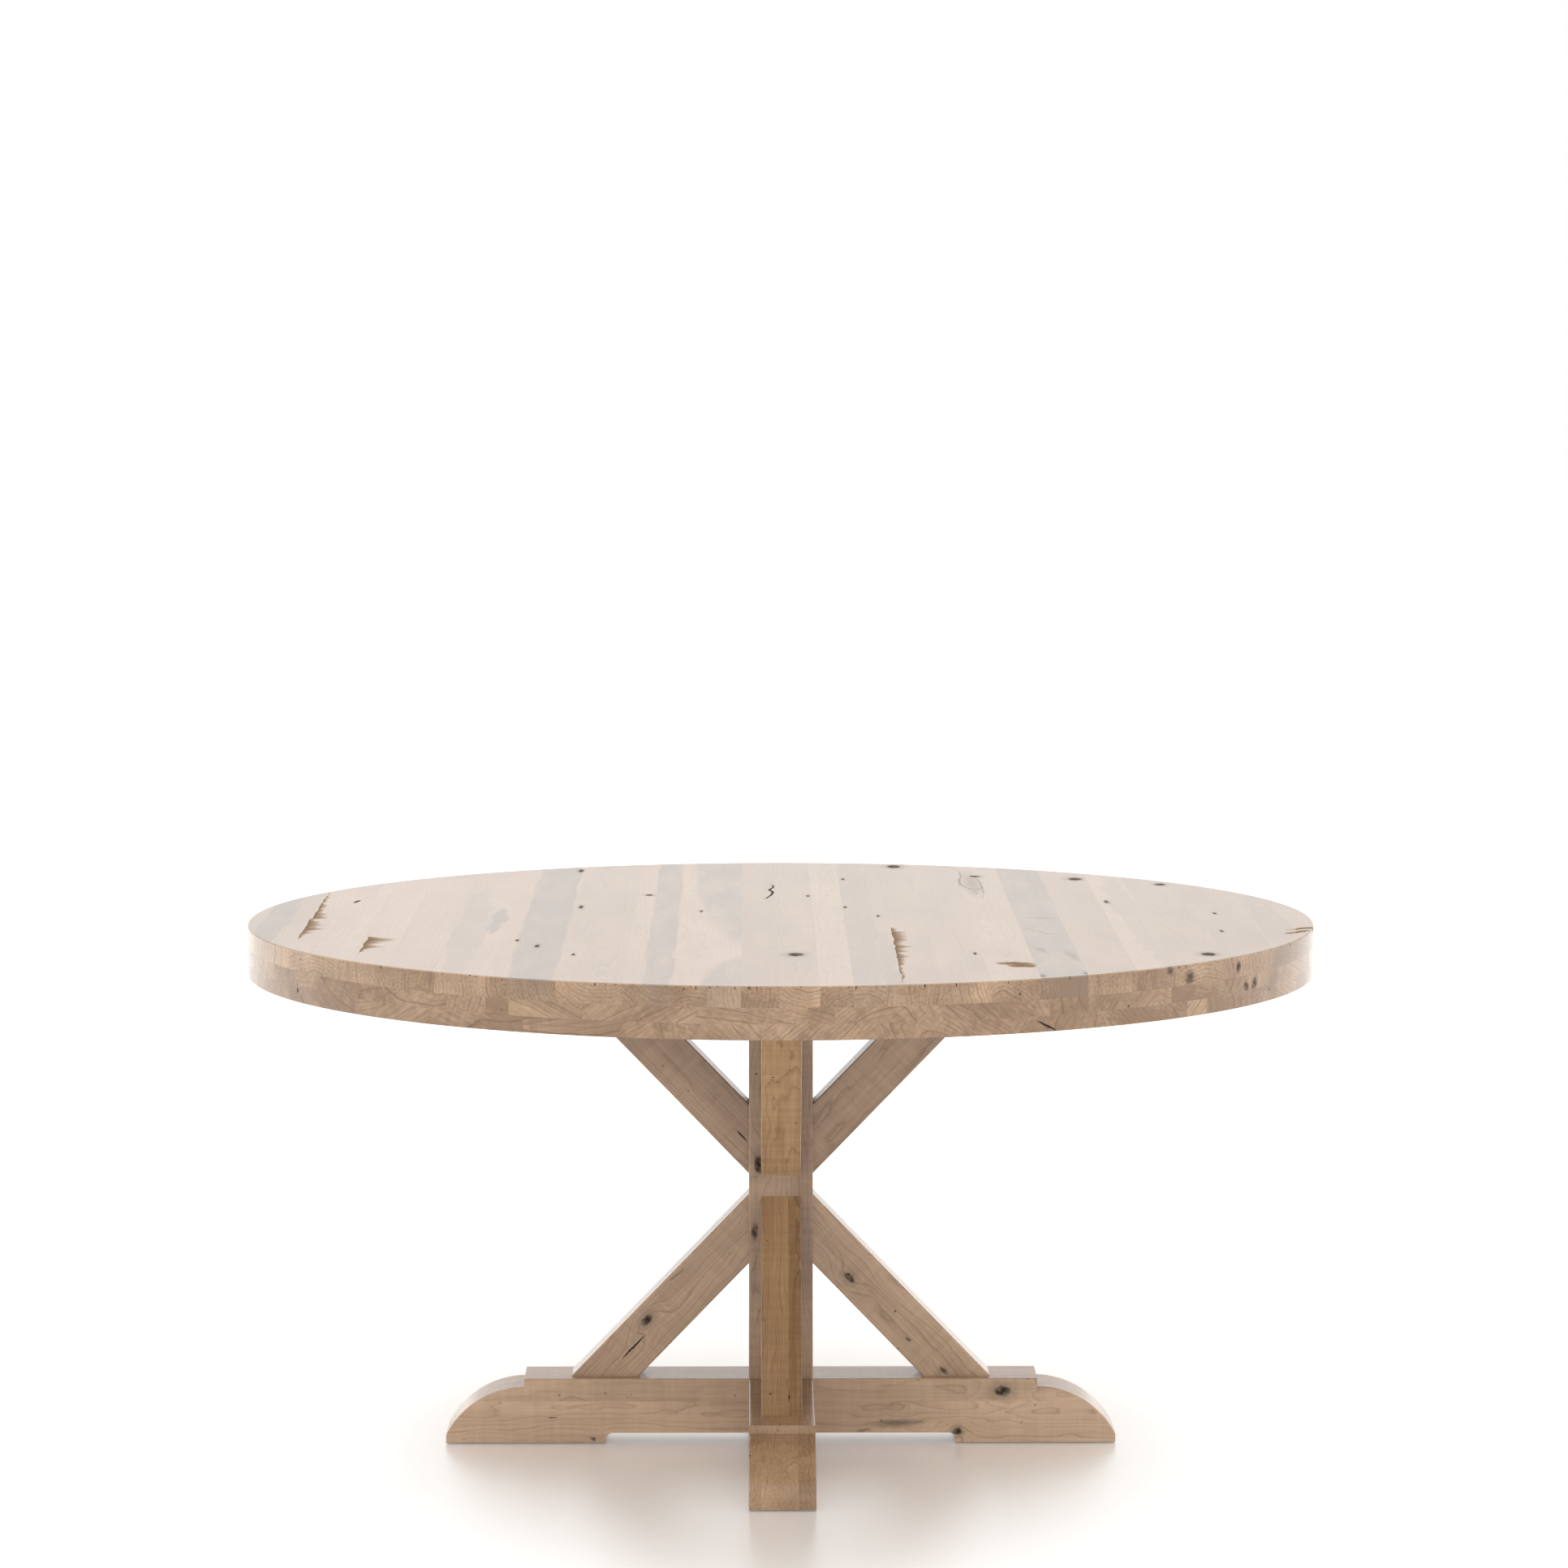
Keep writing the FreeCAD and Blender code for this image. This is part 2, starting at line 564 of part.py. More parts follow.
def table_nodes():
    """Every piece of the table by name. Identical fasteners and rim segments are lists of separate solids."""
    nodes = {}
    for number, board in enumerate(boards(), start=1):
        nodes["top_board_%02d" % number] = [board]
    nodes["top_board_splines"] = splines(0)
    nodes["rim_upper_segments"] = rim_segments(0)
    nodes["rim_lower_segments"] = rim_segments(1)
    singles = {**rails(), "post": post(), **braces(), **feet()}
    for name, solid in singles.items():
        nodes[name] = [solid]
    lower_dowels = on_all_arms(brace_dowels(0, 0))
    lower_lags = on_all_arms([brace_lag()])
    nodes["lower_brace_dowels"] = lower_dowels
    nodes["upper_brace_dowels"] = [flipped(dowel) for dowel in lower_dowels]
    nodes["lower_brace_lag_screws"] = lower_lags
    nodes["upper_brace_lag_screws"] = [flipped(lag) for lag in lower_lags]
    nodes["post_bolts"] = [post_bolt(*LOWER_BOLT), post_bolt(*UPPER_BOLT)]
    nodes["top_screws"] = top_screws()
    nodes["top_screw_washers"] = top_washers()
    nodes["leveler_inserts"] = on_all_arms([leveler_insert()])
    for arm, degrees in ARMS.items():
        nodes["leveler_pad_" + arm] = [turned(leveler_pad(), degrees)]
        nodes["leveler_stem_" + arm] = [turned(leveler_stem(), degrees)]
    return nodes


def main():
    os.makedirs("parts", exist_ok=True)
    for name, shapes in table_nodes().items():
        solids = [solid for shape in shapes for solid in shape.Solids]
        if len(solids) != len(shapes) or not all(solid.isValid() for solid in solids):
            raise ValueError("%s: %d solids from %d shapes" % (name, len(solids), len(shapes)))
        node = solids[0] if len(solids) == 1 else Part.makeCompound(solids)
        node.exportStep("parts/%s.step" % name)
        print("%-26s %3d solids %12.1f mm3" % (name, len(solids), node.Volume))


main()
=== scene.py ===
import math
import random

import bpy
from bpy.props import FloatProperty, FloatVectorProperty, PointerProperty
from mathutils import Matrix, Vector


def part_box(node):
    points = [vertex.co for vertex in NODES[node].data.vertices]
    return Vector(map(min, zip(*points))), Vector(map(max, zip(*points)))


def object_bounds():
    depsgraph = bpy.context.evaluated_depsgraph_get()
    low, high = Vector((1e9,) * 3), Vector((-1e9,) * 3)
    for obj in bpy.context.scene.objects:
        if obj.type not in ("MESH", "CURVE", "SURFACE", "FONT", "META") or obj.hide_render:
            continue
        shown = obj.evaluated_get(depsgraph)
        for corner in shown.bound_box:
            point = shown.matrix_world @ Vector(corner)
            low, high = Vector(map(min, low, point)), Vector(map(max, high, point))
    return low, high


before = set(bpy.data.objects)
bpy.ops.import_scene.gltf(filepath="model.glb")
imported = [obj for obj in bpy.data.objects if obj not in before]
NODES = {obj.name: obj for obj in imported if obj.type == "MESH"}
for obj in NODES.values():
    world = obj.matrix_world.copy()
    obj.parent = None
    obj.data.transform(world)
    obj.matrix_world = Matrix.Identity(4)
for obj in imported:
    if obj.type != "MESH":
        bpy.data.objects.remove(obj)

CAD_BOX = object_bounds()

bl_info = {
    "name": "Braced round table",
    "version": (1, 0, 0),
    "blender": (4, 5, 0),
    "location": "3D View > Sidebar > Table",
    "description": "Gives the round table its lacquered birch, its hardware finishes and a white studio",
    "category": "Material",
}

# Places are in the table's own frame: origin on the floor, +Z up, the front is -Y.
ARMS = ("right", "back", "left", "front")
RIGHT = Vector((1, 0, 0))
BACK = Vector((0, 1, 0))
UP = Vector((0, 0, 1))
MM = 0.001
TOP_HEIGHT = CAD_BOX[1][2] / MM
TOP_RADIUS = CAD_BOX[1][0] / MM
HALFWAY = (0.5, 0.5, 0.5)

# Front faces of the post and the side-to-side foot, and of the braces, in millimetres
FOOT_FACE = -46
BRACE_FACE = -28.5
BRACE_ANGLE = math.radians(46)

# The rim: its segments, where each is cut into blocks, how far the grain of a block skews and slants, where
# the glue line behind the outer blocks lies in metres, and what keeps the lots of all blocks apart
RIM_SEGMENTS = 10
RIM_FIRST_JOINT = math.radians(-85)
RIM_CUTS = (0.30, 0.62)
RIM_SKEW = math.radians(35)
RIM_SLANTS = {"To Min": math.radians(10), "To Max": math.radians(40)}
RIM_GLUE_LINES = {"To Min": -0.030, "To Max": -0.004}
RIM_LOTS = (3.0, 40.0, 500.0)

# Seeds of the random lots, a step apart for pieces of one kind
BOARD_SEED = 100
POST_SEED = 200.0
BRACE_SEED = 300.0
RAIL_SEED = 500.0
FOOT_SEED = 600.0
SEED_STEP = 16

# The grain: size of the waves of the rings across and along the plank and their swing, in millimetres, how
# late wood comes up through a year, and how much fibres, shimmer and clouds change the tone
RING_WAVES = ((83, 385, 45), (21, 80, 16))
YEAR = ((0.10, 0.0), (0.55, 0.08), (0.80, 0.35), (0.93, 1.0))
YEAR_ENDS = 0.1
VIGOUR = {"To Min": 0.2, "To Max": 1.0}
FIBRE_LENGTH = 160
SHIMMER = (110, 9)
CLOUD_LENGTH = 290
TONE_SHARES = (0.55, 0.35, 0.95)
LINE_SHARE = 0.72
LOT_SPREAD = 7.0

# Pin knots: where one is darkest and where it ends, as shares of their spacing
PIN_FADE = {"From Min": 0.03, "From Max": 0.085, "To Min": 1.0, "To Max": 0.0}

# Relief of ring lines and pin knots against the fibres, its height in metres, and the lacquer
LINE_GROOVE = -0.5
PIN_PIT = -2.0
RELIEF_HEIGHT = 0.00003
ROUGHNESS_SWING = 0.06
LACQUER_IOR = 1.5

# Zinc plate, and the size of its clouds in millimetres
ZINC = {"roughness": 0.32, "metallic": 1.0, "sizes": (3.3, 3.3, 3.3), "spread": 0.18, "depth": 0.00002}

# The upward part of the normal between upright and level faces
SLOPES = {"From Min": 0.3, "From Max": 0.9}

# Marks: how lines thin to their ends, half the length and width of a pin knot in millimetres, how a mottled
# mark pales, the stain round a knot, and how far and by how many rings a knot pushes the grain aside
LINE_TAPER = 0.6
PIN_REACH = 13
PIN_HALF_WIDTH = 2.6
MOTTLE = {"From Min": -0.15, "From Max": 0.1, "To Min": 0.55}
HALO = {"From Min": 0.8, "From Max": 2.4, "To Min": 0.30, "To Max": 0.0}
BULGE_REACH = 5.0
BULGE_RINGS = 2.6

# Torn grain: size and swing of the sway of its sharp side and size of its teeth, in millimetres, the noise at
# the shortest and longest tooth, the shortest's share of the width, and how the colour fades along a tooth
SWAY_SIZE = 70
SWAY_SWING = 5
TOOTH_SIZE = 36
TOOTH_NOISE = {"From Min": 0.35, "From Max": 0.70}
SHORT_TOOTH = 0.2
LEAST_TOOTH = 0.1
TORN_FADE = {"From Min": 0.1, "To Min": 0.85, "To Max": 0.0}


def in_space(point):
    """A marked point, in metres. A point given by two numbers lies on the top."""
    return Vector((*point, TOP_HEIGHT)[:3]) * MM


def on_rim(degrees, z):
    """A point on the rim, in millimetres, at an angle from the front towards the right."""
    angle = math.radians(degrees)
    return (TOP_RADIUS * math.sin(angle), -TOP_RADIUS * math.cos(angle), z)


def line_on_top(kind, half_width, *points):
    """The strokes of a line through points on the top, which thins towards its ends."""
    strokes = list(zip(points, points[1:]))
    shares = [math.sin(math.pi * (step + 0.5) / len(strokes)) for step in range(len(strokes))]
    widths = [half_width * share ** LINE_TAPER for share in shares]
    return [(kind, start, end, width) for (start, end), width in zip(strokes, widths)]


def pin_on_top(x, y):
    """A pin knot on the top, drawn out along the grain."""
    return ("knot", (x, y - PIN_REACH), (x, y + PIN_REACH), PIN_HALF_WIDTH)


# How each kind of mark shows: where it starts to fade and where it is gone (1 is its edge), how strong it is,
# how ragged its edge is in millimetres, and the layer that it lies in
MARK_KINDS = {
    "knot": (0.55, 1.10, 1.00, 6, "core"),
    "blot": (0.30, 1.25, 0.85, 6, "core"),
    # Cracks and splits take the dark core colour: painted shade in their open gaps
    "crack": (0.50, 1.00, 1.00, 3, "core"),
    "split": (0.50, 1.00, 1.00, 2, "core"),
    "stain": (0.10, 1.20, 0.75, 6, "stain"),
    "shade": (0.20, 1.10, 0.30, 14, "stain"),
    "trace": (0.20, 1.00, 0.65, 8, "stain"),
    "vein": (0.00, 1.00, 0.32, 14, "stain"),
    "bark": (0.35, 1.10, 0.85, 18, "bark"),
    "heart": (0.85, 1.00, 0.64, 14, "grey"),
    "flame": (0.72, 1.02, 0.68, 42, "grey"),
    "grey": (0.75, 1.05, 0.28, 50, "grey"),
}
STROKES = ("split", "trace", "vein")
MOTTLED = ("knot", "blot", "heart")

# The layers of marks, from the lowest: their colour in the settings, relief and roughness, and the length
# in millimetres of the waves along their edges, across the table and from front to back
MARK_LAYERS = {
    "grey": ("grey", 0.0, 0.20, (28, 170)),
    "bark": ("bark", -1.0, 0.95, (10, 40)),
    "stain": ("stain", 0.0, 0.40, (8, 8)),
    # The core colour is dark knot wood in knots, and painted shade in cracks and splits
    "core": ("knot", -6.0, 1.00, (8, 8)),
}

# Heartwood that narrows to a point from either end of two boards of the top
WEDGES = [("heart", (-56, 2170), (-54, -370), 80),
          ("heart", (-55, -400), (-55, -2000), 75)]

# Marks on single pieces, in millimetres: the kind, both ends of its long axis and half its width. A point
# given by two numbers lies on the top.
MARKS = {
    "top_board_01": [("heart", (-722, 420), (-722, -400), 22)],
    "top_board_02": [("crack", (-628, 196), (-620, 244), 4)],
    "top_board_05": [
        ("grey", (-440, 420), (-440, -700), 26),
        ("flame", (-404, 150), (-400, -130), 14),
        ("flame", (-412, -20), (-410, -190), 8)],
    "top_board_06": [
        ("knot", (-306, 620), (-306, 666), 4.5),
        ("knot", (-337, -343), (-337, -307), 3.5),
        ("heart", (-338, 1600), (-330, -1600), 36),
        pin_on_top(-367, -260)],
    "top_board_07": [
        ("knot", (-291, 126), (-291, 168), 3.5),
        pin_on_top(-284, -422)],
    "top_board_08": [
        ("knot", (-194, 292), (-194, 314), 6),
        ("heart", (-166, 1600), (-166, -1600), 21)],
    "top_board_09": [*WEDGES, pin_on_top(-115, 92)],
    "top_board_10": WEDGES,
    "top_board_11": line_on_top("split", 2.8, (-12, 447), (-9, 428), (-9, 405), (-13, 386), (-15, 370),
                                (-11, 352), (-10, 330), (-13, 300), (-20, 258), (-24, 252)),
    "top_board_12": [
        ("knot", (18, -444), (18, -404), 12),
        pin_on_top(42, 290)],
    "top_board_14": [
        ("grey", (112, 1500), (112, -1500), 30),
        pin_on_top(98, 520),
        pin_on_top(95, 142)],
    "top_board_15": [
        ("knot", (181, 677), (181, 725), 12),
        ("grey", (137, -100), (140, -1100), 18),
        pin_on_top(141, 30)],
    "top_board_16": [pin_on_top(262, -414)],
    "top_board_17": [
        ("grey", (284, 690), (292, 250), 18),
        ("knot", (302, 545), (302, 569), 9),
        ("shade", (292, 640), (297, 270), 17),
        *line_on_top("trace", 3, (273, 690), (280, 620), (281, 560), (276, 510), (275, 455),
                     (280, 412), (288, 376), (295, 330), (301, 262)),
        *line_on_top("trace", 2.5, (301, 262), (306, 330), (307, 430), (304, 520), (296, 600)),
        *line_on_top("trace", 4, (286, 392), (297, 374), (305, 396)),
        ("bark", (280, -518), (341, -530), 19),
        ("bark", (298, -538), (343, -558), 19)],
    "top_board_18": [
        ("heart", (370, 1600), (370, -1600), 60),
        ("stain", (342, -630), (341, -680), 6),
        ("stain", (400, -605), (401, -650), 6),
        ("shade", (342, 14), (402, -6), 10),
        *line_on_top("vein", 7, (346, -120), (358, -158), (376, -184), (392, -196)),
        ("shade", (348, -330), (362, -420), 8),
        ("shade", (386, -360), (400, -520), 9)],
    "top_board_19": [("knot", (454, 500), (454, 540), 12)],
    "top_board_20": [
        ("knot", (482, 190), (482, 230), 3.5),
        ("grey", (500, 700), (520, -700), 24),
        ("blot", on_rim(42.2, 748), on_rim(43.2, 753), 7)],
    "top_board_21": [
        ("knot", (578, 427), (578, 459), 9),
        ("knot", (579, -444), (579, -404), 11),
        ("blot", on_rim(45.6, 727), on_rim(45.8, 749), 11)],
    "top_board_22": [
        ("blot", on_rim(54.0, 733), on_rim(54.4, 750), 8),
        pin_on_top(629, 61),
        pin_on_top(620, -156)],
    "top_board_23": [
        ("grey", (705, 340), (690, -320), 28),
        ("bark", (764, -104), (712, -150), 9),
        ("bark", (748, -140), (704, -196), 8)],
    "rim_upper_segments": [
        ("blot", on_rim(57.0, 708), on_rim(58.2, 722), 9),
        ("blot", on_rim(55.5, 707), on_rim(56.2, 718), 8),
        ("knot", on_rim(36.8, 709), on_rim(37.1, 709), 2.5)],
    "rim_lower_segments": [
        ("crack", on_rim(25.5, 703), on_rim(28.6, 682), 1.8),
        ("knot", on_rim(61.0, 700), on_rim(61.3, 700), 3),
        ("knot", on_rim(-60.6, 701), on_rim(-60.2, 701), 3)],
    "post": [
        ("knot", (-31, FOOT_FACE, 392), (-31, FOOT_FACE, 420), 8),
        ("blot", (-38, FOOT_FACE, 296), (-37, FOOT_FACE, 324), 6)],
    "lower_brace_left": [
        ("knot", (-201, BRACE_FACE, 169), (-185, BRACE_FACE, 185), 7),
        ("crack", (-235, BRACE_FACE, 114), (-192, BRACE_FACE, 159), 1.7),
        ("trace", (-157, BRACE_FACE, 237), (-141, BRACE_FACE, 250), 3)],
    "upper_brace_left": [("crack", (-66, BRACE_FACE, 456), (-46, BRACE_FACE, 435), 1.6)],
    "lower_brace_right": [
        ("knot", (91, BRACE_FACE, 246), (105, BRACE_FACE, 232), 5.5),
        ("blot", (179, BRACE_FACE, 153), (187, BRACE_FACE, 145), 3),
        ("blot", (228, BRACE_FACE, 110), (242, BRACE_FACE, 96), 5)],
    "lower_brace_front": [("crack", (10.5, -270, 130), (10.5, -292, 107), 1.6)],
    "side_to_side_foot": [
        ("knot", (305, FOOT_FACE, 76), (333, FOOT_FACE, 76), 9),
        ("knot", (246, FOOT_FACE, 18), (262, FOOT_FACE, 18), 6),
        ("blot", (-276, FOOT_FACE, 7), (-264, FOOT_FACE, 7), 3),
        ("stain", (120, FOOT_FACE, 27), (214, FOOT_FACE, 33), 7),
        ("stain", (106, FOOT_FACE, 19), (132, FOOT_FACE, 20), 3),
        ("crack", (-339, FOOT_FACE, 38), (-319, FOOT_FACE, 38), 1.0)],
    "front_to_back_foot": [("knot", (7, -452, 66), (7, -466, 54), 5)],
}

# Bark and torn grain on boards of the top, in millimetres: x of its sharp side, y of its near end, of its
# widest place and of its far end, and how far it fades there
TEARS = {
    "top_board_02": [(-674, -250, -110, 350, 40)],
    "top_board_03": [(-577, -400, -240, -215, 80)],
    "top_board_15": [(155, -740, -190, -110, 38)],
}

# How pale the ends of some boards are, which the others take at random
END_TONES = {"top_board_01": 0.0, "top_board_02": -0.05, "top_board_03": -0.08, "top_board_18": -0.55,
             "top_board_23": -0.45}


def linear(hex_colour):
    """An sRGB hex colour as the linear numbers that shaders take."""
    parts = [int(hex_colour[start:start + 2], 16) / 255 for start in (1, 3, 5)]
    return [part / 12.92 if part <= 0.04045 else ((part + 0.055) / 1.055) ** 2.4 for part in parts]


def colour_property(name, description, hex_colour):
    """A colour that can be changed in the panel."""
    return FloatVectorProperty(name=name, description=description, subtype="COLOR", size=3, min=0, max=1,
                               default=linear(hex_colour))


def length_property(name, description, metres):
    """A length that can be changed in the panel."""
    return FloatProperty(name=name, description=description, unit="LENGTH", min=0, default=metres)


def share_property(name, description, share, most=1.0):
    """A plain share that can be changed in the panel."""
    return FloatProperty(name=name, description=description, subtype="FACTOR", min=0, max=most,
                         default=share)


class BirchSettings(bpy.types.PropertyGroup):
    """Colours and grain of the birch that the table is made of."""
    pale: colour_property("Pale wood", "Clear wood between the ring lines", "#D2B394")
    deep: colour_property("Deep wood", "The darker clear wood that the pale drifts into", "#8E725B")
    line: colour_property("Ring line", "Late wood at the end of each year's growth", "#74573F")
    grey: colour_property("Grey wood", "Weathered heartwood in some boards", "#85786D")
    warm: colour_property("Honey tint", "Tint of the yellower pieces", "#FFF7DF")
    # The knot colour also paints the shade in cracks and splits
    knot: colour_property("Knot", "Core of a knot or a split", "#281E17")
    stain: colour_property("Stain", "Grey-brown mineral stain round some knots", "#5E534A")
    bark: colour_property("Torn grain", "Bark and torn wood along some edges", "#74501E")
    ring: length_property("Ring spacing", "Width of one year's growth", 0.0055)
    # Real fibres are too fine to show, so the streaks are drawn coarser
    fibre: length_property("Fibre width", "Width of a streak of fibres", 0.0035)
    mottle: length_property("Mottle size", "Width of the cloudy light and dark patches", 0.060)
    pins: length_property("Pin knot spacing", "How far pin knots lie apart", 0.027)
    roughness: share_property("Lacquer roughness", "Satin clear lacquer", 0.17)


class HardwareSettings(bpy.types.PropertyGroup):
    """Colours of the bare joinery wood, steel, brass and nylon."""
    bare_birch: colour_property("Bare birch", "Dowels and splines without lacquer", "#D8BC92")
    zinc: colour_property("Zinc plate", "Screws, bolts, washers and leveler stems", "#B9BCBE")
    brass: colour_property("Brass", "Threaded inserts in the feet", "#C9A75C")
    nylon: colour_property("Nylon", "Floor pads", "#43362B")


class StageSettings(bpy.types.PropertyGroup):
    """Floor, light and camera."""
    floor: colour_property("Floor", "White studio floor", "#FAF8F5")
    floor_radius: length_property("Floor radius", "How far the floor reaches", 40.0)
    floor_gloss: share_property("Floor gloss", "How much of the floor mirrors what stands on it", 0.55)
    # Painted glow on the floor, seen straight on only: it lightens the table's shadow, near the table and
    # further off
    near_floor_glow: share_property("Floor lift", "How much whiter the floor shows near the table", 0.14)
    far_floor_glow: share_property("Far lift", "How much whiter the floor shows further off", 0.47)
    dome: share_property("Dome", "Light from all round", 0.45, 10.0)
    zenith: share_property("Zenith", "More light from straight above", 1.2, 10.0)
    level: share_property("Level", "More light from the level, all round", 2.6, 10.0)
    camera_place: FloatVectorProperty(name="Camera", description="Where the camera stands",
                                      subtype="TRANSLATION", default=(-0.0445, -7.745, 1.657))
    camera_aim: FloatVectorProperty(name="Aim", description="What the camera points at",
                                    subtype="TRANSLATION", default=(0.0048, 0.0, 0.950))
    lens: FloatProperty(name="Lens", description="Focal length on a 36 mm sensor", unit="CAMERA",
                        default=124.6)


def add(tree, kind, inputs=None, output=0, **settings):
    """Add a shader node with its settings, set or link its inputs, and return one of its outputs.

    The second word of a kind is the node's operation.
    """
    kind, *operation = kind.split()
    new = tree.nodes.new("ShaderNode" + kind)
    for word in operation:
        new.operation = word
    for name, value in settings.items():
        setattr(new, name, value)
    for socket, value in (inputs or {}).items():
        if isinstance(value, bpy.types.NodeSocket):
            tree.links.new(value, new.inputs[socket])
        else:
            new.inputs[socket].default_value = value
    return new.outputs[output]


def opaque(colour):
    """A linear colour with full alpha, as colour sockets take it."""
    return (*colour, 1.0)


def new_material(name):
    """An empty node material."""
    material = bpy.data.materials.new(name)
    material.use_nodes = True
    material.node_tree.nodes.clear()
    return material


def close_material(tree, colour, roughness, height, depth, **constants):
    """End a material in one shader with a colour, a roughness and a relief that is depth metres high."""
    normal = add(tree, "Bump", {"Height": height, "Distance": depth, "Strength": 1.0}, output="Normal")
    inputs = {"Base Color": colour, "Roughness": roughness, "Normal": normal, **constants}
    surface = add(tree, "BsdfPrincipled", inputs)
    tree.links.new(surface, tree.nodes.new("ShaderNodeOutputMaterial").inputs["Surface"])


def dress(names, material):
    """Give the table's pieces their finish."""
    for name in names:
        for slot in NODES[name].material_slots:
            slot.material = material


# Birch: sawn, planed and clear-lacquered. Fine closed pores, so the eye sees ring lines as thin contours,
# soft streaks along the grain, cloudy tone, pin knots, and a satin film that whitens at a low angle.

def waves(tree, spot, across, along, detail, output=0):
    """A noise with waves of a given size in millimetres, across the plank and along its grain."""
    per_metre = Vector((1 / across, 1 / along, 1 / across)) / MM
    spot = add(tree, "VectorMath MULTIPLY", {0: spot, 1: per_metre})
    return add(tree, "TexNoise", {"Vector": spot, "Scale": 1.0, "Detail": detail}, output=output)


def birch_grain(birch):
    """The grain of one plank. Place is in metres: X across the plank, Y along the grain, Z through it."""
    tree = bpy.data.node_groups.new("Birch grain", "ShaderNodeTree")
    sockets = {"Place": "Vector", "Lot": "Vector", "Pith": "Vector", "Swell": "Float", "Wave": "Float",
               "Tone": "Float", "Figure": "Float", "Relief": "Float", "Warm": "Float"}
    for name, kind in sockets.items():
        tree.interface.new_socket(name, in_out="INPUT", socket_type="NodeSocket" + kind)
    for name, kind in {"Colour": "Color", "Roughness": "Float", "Height": "Float"}.items():
        tree.interface.new_socket(name, in_out="OUTPUT", socket_type="NodeSocket" + kind)
    given = tree.nodes.new("NodeGroupInput").outputs
    place = given["Place"]
    figure = given["Figure"]
    drift = add(tree, "VectorMath SCALE", {0: given["Lot"], "Scale": LOT_SPREAD})
    spot = add(tree, "VectorMath ADD", {0: place, 1: drift})

    # Rings about the pith, which runs along the plank at a slight lean, with slow waves and small ripples
    wander = (0, 0, 0)
    for across, along, swing in RING_WAVES:
        wave = waves(tree, spot, across, along, 2.0, "Color")
        wave = add(tree, "VectorMath SUBTRACT", {0: wave, 1: HALFWAY})
        aside = (swing * MM, 0, swing * MM)
        wander = add(tree, "VectorMath MULTIPLY_ADD", {0: wave, 1: aside, 2: wander})
    wander = add(tree, "VectorMath SCALE", {0: wander, "Scale": given["Wave"]})
    along = add(tree, "SeparateXYZ", {0: place}, output="Y")
    lean = add(tree, "SeparateXYZ", {0: given["Pith"]}, output="Y")
    leaning = add(tree, "Math MULTIPLY", {0: along, 1: lean})
    leaning = add(tree, "CombineXYZ", {"X": leaning, "Z": leaning})
    from_pith = add(tree, "VectorMath SUBTRACT", {0: place, 1: given["Pith"]})
    from_pith = add(tree, "VectorMath MULTIPLY_ADD", {0: from_pith, 1: (1, 0, 1), 2: leaning})
    from_pith = add(tree, "VectorMath ADD", {0: from_pith, 1: wander})
    reach = add(tree, "VectorMath LENGTH", {0: from_pith}, output="Value")
    reach = add(tree, "Math ADD", {0: reach, 1: given["Swell"]})
    years = add(tree, "Math DIVIDE", {0: reach, 1: birch.ring})
    year = add(tree, "Math FLOOR", {0: years})
    season = add(tree, "Math FRACT", {0: years})
    vigour = add(tree, "TexWhiteNoise", {"W": year}, output="Value", noise_dimensions="1D")
    vigour = add(tree, "Math POWER", {0: vigour, 1: 2.0})
    vigour = add(tree, "MapRange", {"Value": vigour, **VIGOUR})
    late = tree.nodes.new("ShaderNodeValToRGB")
    stops = late.color_ramp.elements
    for position, value in YEAR:
        stops.new(position).color = opaque([value] * 3)
    for end in (stops[0], stops[-1]):
        end.color = opaque([YEAR_ENDS] * 3)
    tree.links.new(season, late.inputs[0])
    line = add(tree, "Math MULTIPLY", {0: late.outputs[0], 1: vigour})
    line = add(tree, "Math MULTIPLY", {0: line, 1: figure})

    # Streaks of fibres, a shimmer across the grain and cloudy tone
    fibre = waves(tree, spot, birch.fibre / MM, FIBRE_LENGTH, 3.0)
    shimmer = waves(tree, spot, *SHIMMER, 2.0)
    cloud = waves(tree, spot, birch.mottle / MM, CLOUD_LENGTH, 3.0)
    tone = add(tree, "Math ADD", {0: given["Tone"], 1: 0.5})
    for pattern, share in zip((fibre, shimmer, cloud), TONE_SHARES):
        pattern = add(tree, "Math SUBTRACT", {0: pattern, 1: 0.5})
        pattern = add(tree, "Math MULTIPLY", {0: pattern, 1: figure})
        tone = add(tree, "Math MULTIPLY_ADD", {0: pattern, 1: share, 2: tone})

    # Pin knots, where a random point lies near the surface
    pin_at = add(tree, "VectorMath SCALE", {0: spot, "Scale": 1 / birch.pins})
    pin = add(tree, "TexVoronoi", {"Vector": pin_at, "Scale": 1.0}, output="Distance")
    dark = add(tree, "SeparateColor", {0: pin.node.outputs["Color"]})
    pin = add(tree, "MapRange", {"Value": pin, **PIN_FADE})
    pin = add(tree, "Math MULTIPLY", {0: pin, 1: dark})

